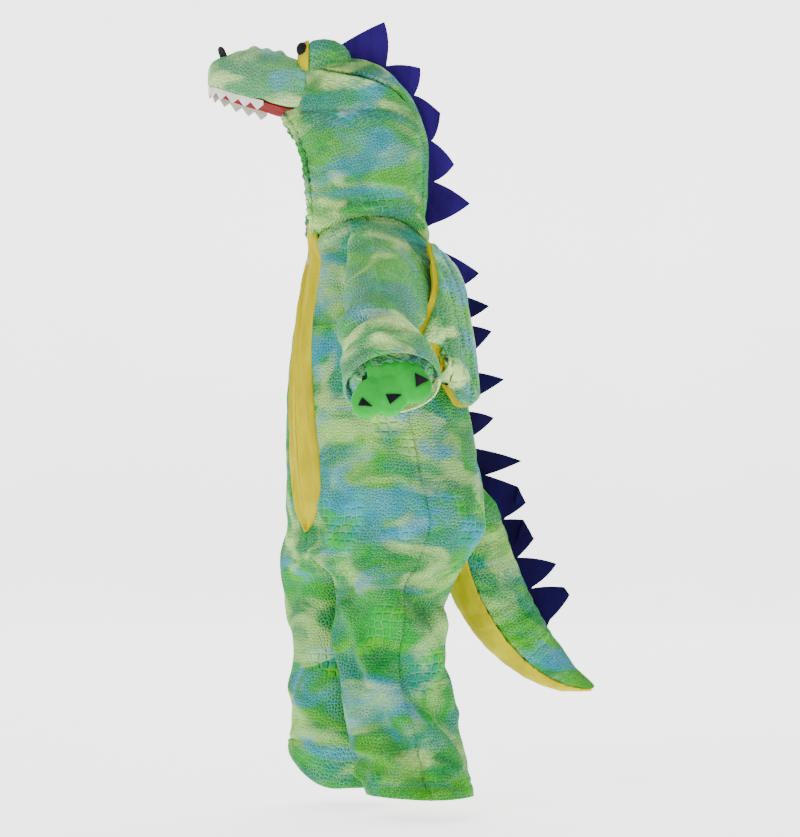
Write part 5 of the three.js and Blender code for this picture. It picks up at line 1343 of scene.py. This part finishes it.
# %% Wings
# piece, node, finish, slot, how far its inner side stands out, how far it puffs, 1 where its edge is wider
PADS = [
    ("wing_plush_", "wing_", plush_limb, "plush_green", 0.2, 6.0, 0),
    ("wing_lining_velvet_", "wing_lining_", yellow_velvet, "velvet_yellow", -0.2, -8.0, 1),
]
for side, word in SIDES.items():
    w = np.linspace(0, WING_WIDE, 110)[None]
    share = np.linspace(0, 1, 80)[:, None]
    z = mix(read(WING_CUT, "top", w), read(WING_CUT, "bottom", w), share)
    w = w + 0 * share
    lean = w + 10 * (share - 0.5)
    swell = np.ones_like(w)
    for at in CHANNELS:
        swell *= 1 - 0.8 * np.exp(-(((lean - at) / 3.0) ** 2))
    tall = read(WING_CUT, "top", w) - read(WING_CUT, "bottom", w)
    edge = np.minimum.reduce([w / 9, (WING_WIDE - w) / 6, share * tall / 9, (1 - share) * tall / 9])
    swell *= np.sqrt(np.clip(edge, 0, 1) * (2 - np.clip(edge, 0, 1)))
    uv = np.stack([w, z], -1)
    past = smooth((w - 70) / 40)
    ripples = 0.4 * np.sin(z / 17 + w / 9) * swell
    for name, node, finish, slot, inner, puff, wide_edge in PADS:
        wider = past * wide_edge
        u, h = w + 7 * wider, z - 5 * wider * share + 3 * wider * (1 - share)
        puffed = wing_sheet(side, u, h, inner + np.sign(puff) * 0.3 + puff * swell + ripples)
        plain = wing_sheet(side, u, h, inner + 0 * w)
        piece = closed_pad(name + word, puffed, plain, finish, uv)
        dress(piece, [node + word])
        print(piece.name, "faces", len(piece.data.polygons))

# %% [markdown]
# ## The paws
# A foam pad in three lobes hangs from each cuff, with a black felt nail on each lobe. The creases between
# the lobes are part of the solid, so the softened copy keeps them. A nail is a felt triangle that is glued
# down, so it is laid on the lobe's own round form.

# %% Places of the lobes and nails
# each lobe, from the root of its paw: down, across, length and width
PAW_LOBES = [(36, 22, 31, 25), (50, -3, 33, 24), (56, -26, 31, 23)]
PAW_ROOT, PAW_DOWN, PAW_THICK = (30, 0, 27), (0.45, 0, -0.89), 10.0
# each nail: the middle of its base, its tip and its width, to the rear and down from the middle of its lobe
NAILS = [
    ((5.4, 1.3), (22.0, 0.0), 19.0),
    ((-2.6, 13.5), (14.5, 6.4), 14.0),
    ((-12.5, 10.0), (2.5, 17.0), 11.0),
]
NAIL_MM, NAIL_FILLS = 1.8, 0.52


def nail_outline(base, tip, wide):
    """A flat triangle as a grid of ten rows that narrow from its base to its tip."""
    base, tip = np.array(base), np.array(tip)
    long = np.linalg.norm(tip - base)
    across = np.array([-(tip - base)[1], (tip - base)[0]]) / long
    narrow = np.linspace(1, 0.04, 10)[:, None, None]
    aside = np.linspace(-1, 1, 9)[None, :, None] * narrow * wide / 2
    return base + (tip - base) * (1 - narrow) + across * aside


print("nails a paw", len(NAILS))

# %% Paws and nails
for side, word in SIDES.items():
    piece = softened("paw_foam_" + word, "paw_" + word, foam_cloth, 1.6, 4, press=lambda p: ripple(p, 0.4))
    dress(piece, ["paw_" + word])
    root = np.array(SLEEVE_LINES[side]["cuff"]) + np.array([side * PAW_ROOT[0], PAW_ROOT[1], PAW_ROOT[2]])
    down = unit(np.array([side * PAW_DOWN[0], PAW_DOWN[1], PAW_DOWN[2]]))
    out = unit(np.array([-down[2] * side, 0, down[0] * side]))
    for k, (along, across, long, wide) in enumerate(PAW_LOBES):
        centre = root + down * along + np.array([0, across, 0])
        ahead = centre - root
        ahead = unit(ahead - out * (ahead @ out))
        sideways = np.cross(out, ahead)
        base, tip, nail_wide = NAILS[k]
        flat = nail_outline(base, tip, nail_wide)
        spot = np.array([0, 1.0, 0]) * flat[..., :1] + down * flat[..., 1:]
        a, b = spot @ ahead, spot @ sideways
        high = PAW_THICK * np.sqrt(np.clip(1 - (a / long) ** 2 - (b / wide) ** 2, 0.02, 1)) + 0.7
        grid = centre + spot + out * high[..., None]
        name = f"nail_{word}_{k + 1}"
        nail = grid_piece(name + "_felt", grid, centre, black_felt, thick=0, waves=0, tuck=0)
        apply(nail, "SOLIDIFY", thickness=NAIL_MM * MM, offset=0, use_rim=True)
        apply(nail, "BEVEL", width=0.35 * MM, segments=2, limit_method="ANGLE", angle_limit=math.radians(50))
        nail_long = np.linalg.norm(np.array(tip) - np.array(base))
        measured[nail.name] = (nail_wide * MM, nail_long * MM, NAIL_FILLS * nail_wide * nail_long * MM * MM)
        dress(nail, [name], held="laid")

# %% [markdown]
# ## Teeth, lining, nostrils
# The teeth are one zigzag strip of white felt along the jaw, and the lining behind them is red velvet. Felt
# is cut, so its edges stay straight, and only a small bevel takes the hardness off them.


def cut_sheet(piece, node):
    """Lets a thin piece stand for its solid and ride on the costume."""
    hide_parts(node)
    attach(piece, "costume")


teeth = softened("teeth_felt", "teeth", white_felt)
apply(teeth, "BEVEL", width=0.45 * MM, segments=2, limit_method="ANGLE")
cut_sheet(teeth, "teeth")
lining = softened("mouth_velvet", "mouth_lining", red_velvet, 1.2, 2, press=lambda p: ripple(p, 0.5))
cut_sheet(lining, "mouth_lining")
for word in SIDES.values():
    tab = softened("nostril_felt_" + word, "nostril_" + word, black_felt)
    apply(tab, "BEVEL", width=0.6 * MM, segments=3, limit_method="ANGLE")
    cut_sheet(tab, "nostril_" + word)

# %% [markdown]
# ## The felt spikes
# Fifteen spikes stand in a row from the crown to the tail. Each is a stiff triangle of felt with a short
# band at its base, which is sunk in the seam that holds it. After wear the spikes lean to one side or the
# other, and some tips on the tail have folded over. A spike is made as a grid from its band to its tip, and
# a Solidify modifier gives the felt its thickness.

# %% Places of the spikes
FELT_MM, BAND_MM = 2.4, 8.0
SUNK_MM, SUNK_IN_TAIL_MM = 2.2, 5.0
# where a spike starts and ends, as heights or as stations of the tail, and its tip to the rear and up
HOOD_SPIKES = [(240.4, 226, 15.6, 286), (224.5, 188.5, 62.4, 226), (187, 131, 88.4, 166.4),
               (129.5, 78.5, 106.6, 100), (77, 23, 127.4, 48)]
FIRST_SPIKE_START = (0, -60, 240.5)
BACK_SPIKES = [(-4, -64, 141.7, -39), (-65.5, -106, 152, -82), (-107.5, -156, 158.6, -114.5),
               (-168, -211, 171.6, -178), (-221, -260, 162.5, -229), (-268, -311, 196.3, -286)]
TAIL_SPIKES = [(0.6, 1.36, 213, -330), (1.4, 2.28, 225, -371), (2.32, 3.18, 245, -423),
               (3.22, 4.3, 266, -456)]
SPIKES = HOOD_SPIKES + BACK_SPIKES + TAIL_SPIKES
# how far each tip leans to the left, and the ends of the line that a tip is folded over, to the rear and up
LEANS = [3, -3, 4, -4, 3, -5, 5, -4, 6, -5, 4, 2, 3, -3, 2]
FOLDED = {
    11: ((188, -319), (199, -340)),
    12: ((196, -363.5), (209, -386.5)),
    14: ((246.5, -448), (258, -463.5)),
}
STEPS = np.linspace(0, 1, 15)
MIDDLE_STEP = 7
print("spikes", len(SPIKES))

# %% The form of a spike
def tail_top(station):
    """The line along the top of the tail, and which way is out of the tail there."""
    centre = np.stack([read(TAIL, key, station) for key in "xyz"], -1)
    after, before = station + 0.02, station - 0.02
    ahead = np.stack([read(TAIL, key, after) - read(TAIL, key, before) for key in "xyz"], -1)
    aside = unit(np.cross(ahead, np.array([0, 0, 1.0])))
    top = unit(np.cross(aside, ahead))
    return centre + top * read(TAIL, "radius", station)[..., None], top


def spike_sheet(base, outwards, sunk, tip, bulge, lean, aside):
    """A grid from the sewn base line over a short band to the tip, which curves to one side."""
    up = np.linspace(0, 1, 26)[:, None, None]
    across = STEPS[None, :, None]
    along = unit(base[-1] - base[0])
    top = base + outwards * BAND_MM
    middle = top.mean(axis=0)
    lift = unit(tip - middle)
    shape = top[None] * (1 - up) + tip * up
    shape = shape + lift * (bulge * 4 * up * (1 - up) * np.abs(2 * across - 1))
    shape = shape + along * (2 * across - 1) * (9.0 * up * (1 - up))
    shape = shape + aside * (lean * up**2 + 1.6 * np.sin(np.pi * across) * (1 - up))
    rows = np.linspace(0, 1, 5)[:-1, None, None]
    sewn = base - outwards * sunk + along * (2 * STEPS[:, None] - 1) * 6.0
    return np.concatenate([sewn[None] * (1 - rows) + shape[:1] * rows, shape])


def fold_over(grid, line, aside):
    """Folds what lies past a line in the plane of a spike back over it, with a small round bend."""
    (y0, z0), (y1, z1) = line
    long = math.hypot(y1 - y0, z1 - z0)
    past = ((grid[..., 1] - y0) * -(z1 - z0) + (grid[..., 2] - z0) * (y1 - y0)) / long
    bend = 1.5
    angle = np.clip(past / bend, 0, np.pi)
    back = np.where(past > 0, bend * np.sin(angle) - np.maximum(past - np.pi * bend, 0) - past, 0)
    rise = np.where(past > 0, bend * (1 - np.cos(angle)) + 0.12 * np.maximum(past - np.pi * bend, 0), 0)
    away = np.array([0, -(z1 - z0) / long, (y1 - y0) / long])
    return grid + away * back[..., None] + aside * rise[..., None]


def hood_seat(k, start, end, tip_y, tip_z):
    """The base line of a spike on the hood, which way is out, its tip, and which way is aside."""
    z = mix(start, end, STEPS)
    base = turned(HOOD, z, LEFT, 0, oval(HOOD, z, 180.0)[1])
    if k == 0:
        first = mix(np.array(FIRST_SPIKE_START, float), base[0], STEPS[::2, None])
        base = np.concatenate([first, base[2::2]])
    tip = np.array([0, tip_y, tip_z])
    return base, unit(tip - base.mean(axis=0)), tip, np.array([1.0, 0, 0])


def back_seat(start, end, tip_y, tip_z):
    """The same for a spike on the seam of the back, which turns with the body."""
    base = body(LEFT, 2.0, mix(start, end, STEPS))
    turn = math.radians(read(TRUNK, "turn", (start + end) / 2))
    x, y, _ = base[MIDDLE_STEP]
    reach = (tip_y - y) / math.cos(turn)
    tip = np.array([x - reach * math.sin(turn), tip_y, tip_z])
    outwards, aside = (-math.sin(turn), math.cos(turn), 0), (math.cos(turn), math.sin(turn), 0)
    return base, np.array(outwards), tip, np.array(aside)


def tail_seat(start, end, tip_y, tip_z):
    """The same for a spike on the tail, whose ends are stations along it."""
    base, top = tail_top(mix(start, end, STEPS))
    tip = np.array([base[MIDDLE_STEP][0] - 6, tip_y, tip_z])
    aside = unit(np.cross(base[-1] - base[0], top[MIDDLE_STEP]))
    return base, top, tip, aside * np.sign(aside[0])


print("a spike is a grid of", len(STEPS), "points across")

# %% Spikes
for k, spike in enumerate(SPIKES):
    bulge, sunk = (2.5 if k == 0 else 1.0), SUNK_MM
    if k < len(HOOD_SPIKES):
        base, outwards, tip, aside = hood_seat(k, *spike)
    elif k < len(HOOD_SPIKES + BACK_SPIKES):
        base, outwards, tip, aside = back_seat(*spike)
    else:
        base, outwards, tip, aside = tail_seat(*spike)
        sunk = SUNK_IN_TAIL_MM
    grid = spike_sheet(base, outwards, sunk, tip, bulge, LEANS[k], aside)
    if k in FOLDED:
        grid = fold_over(grid, FOLDED[k], aside)
    away = grid - aside * 50
    piece = grid_piece(f"spike_felt_{k + 1:02d}", grid, away, violet_felt, thick=0, waves=0, tuck=0)
    wide, _, area = measured[piece.name]
    measured[piece.name] = (wide, area / wide / 0.6, area)
    apply(piece, "SOLIDIFY", thickness=FELT_MM * MM, offset=0, use_rim=True)
    apply(piece, "BEVEL", width=0.5 * MM, segments=2, limit_method="ANGLE", angle_limit=math.radians(50))
    dress(piece, [f"spike_{k + 1:02d}"], held="hung")
print("the longest base line of the back:", max(a - b for a, b, _, _ in BACK_SPIKES), "mm")

# %% [markdown]
# ## The zip
# The chain, the slider and the pull tab are solids that already have the right shape, so they stay. The
# chain's tape gets the yellow of the leaf, and the slider and the tab get a metal finish. The chain's teeth
# are too small for the solids: one tooth is modelled as a bevelled block and copied down both sides of the
# chain. The pull tab hangs on its own hinge, so it rides on the body named zip_pull.

# %% Finishes of the zip
for node, finish in (("zip_chain", yellow_velvet), ("zip_slider", dull_metal), ("zip_pull_tab", dull_metal)):
    zip_part = frame["nodes"][node]
    zip_part.data.materials.clear()
    zip_part.data.materials.append(finish)
    print(node, "in", finish.name)

# %% One zip tooth
TOOTH_PITCH, TOOTH, TOOTH_FROM_MIDDLE = 2.6, (1.8, 1.0, 1.0), 0.7
SLIDER_FROM_Z, SLIDER_TO_Z = -12, -30
bpy.ops.object.select_all(action="DESELECT")
bpy.ops.mesh.primitive_cube_add(size=1, location=(0, 0, 0))
tooth = bpy.context.object
tooth.name = "zip_teeth"
bpy.ops.object.mode_set(mode="EDIT")
bpy.ops.mesh.select_all(action="SELECT")
bpy.ops.transform.resize(value=tuple(v * MM for v in TOOTH))
bpy.ops.mesh.bevel(offset=0.2 * MM, segments=1)
bpy.ops.object.mode_set(mode="OBJECT")
one = np.array([v.co[:] for v in tooth.data.vertices])
one_faces = [tuple(f.vertices) for f in tooth.data.polygons]
print("faces of a tooth", len(one_faces))

# %% Zip teeth
verts, faces = [], []
for z in np.arange(0, ZIP_END_Z + 18, -TOOTH_PITCH):
    for way in (LEFT, RIGHT):
        at_z = z - (TOOTH_PITCH / 2 if way < 0 else 0)
        if SLIDER_TO_Z < at_z < SLIDER_FROM_Z:
            continue
        _, t = oval(TRUNK, np.array(at_z), 0.0)
        middle = turned(TRUNK, np.array(at_z), LEFT, way * TOOTH_FROM_MIDDLE, t + 0.3)
        turn = math.radians(float(read(TRUNK, "turn", at_z)))
        right = np.array([math.cos(turn), math.sin(turn), 0])
        out = np.array([math.sin(turn), -math.cos(turn), 0])
        moved = one[:, :1] * right + one[:, 1:2] * np.array([0, 0, 1.0]) + one[:, 2:] * out + middle * MM
        faces += [tuple(v + len(verts) for v in f) for f in one_faces]
        verts += [tuple(p) for p in moved]
tooth.data.clear_geometry()
tooth.data.from_pydata(verts, [], faces)
tooth.data.materials.append(dull_metal)
tooth.data.update()
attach(tooth, "costume")
print("zip teeth", len(faces) // len(one_faces))

# %% [markdown]
# ## The end
# The last cell measures the size of what shows and the size of the solids, and prints both.

# %% Sizes and finish
cloth_low, cloth_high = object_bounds()
size = {"cad": [list(cad_low), list(cad_high)], "visual": [list(cloth_low), list(cloth_high)]}
cad_size, cloth_size = cad_high - cad_low, cloth_high - cloth_low
print("cad", [round(v, 3) for v in cad_size], "visual", [round(v, 3) for v in cloth_size])
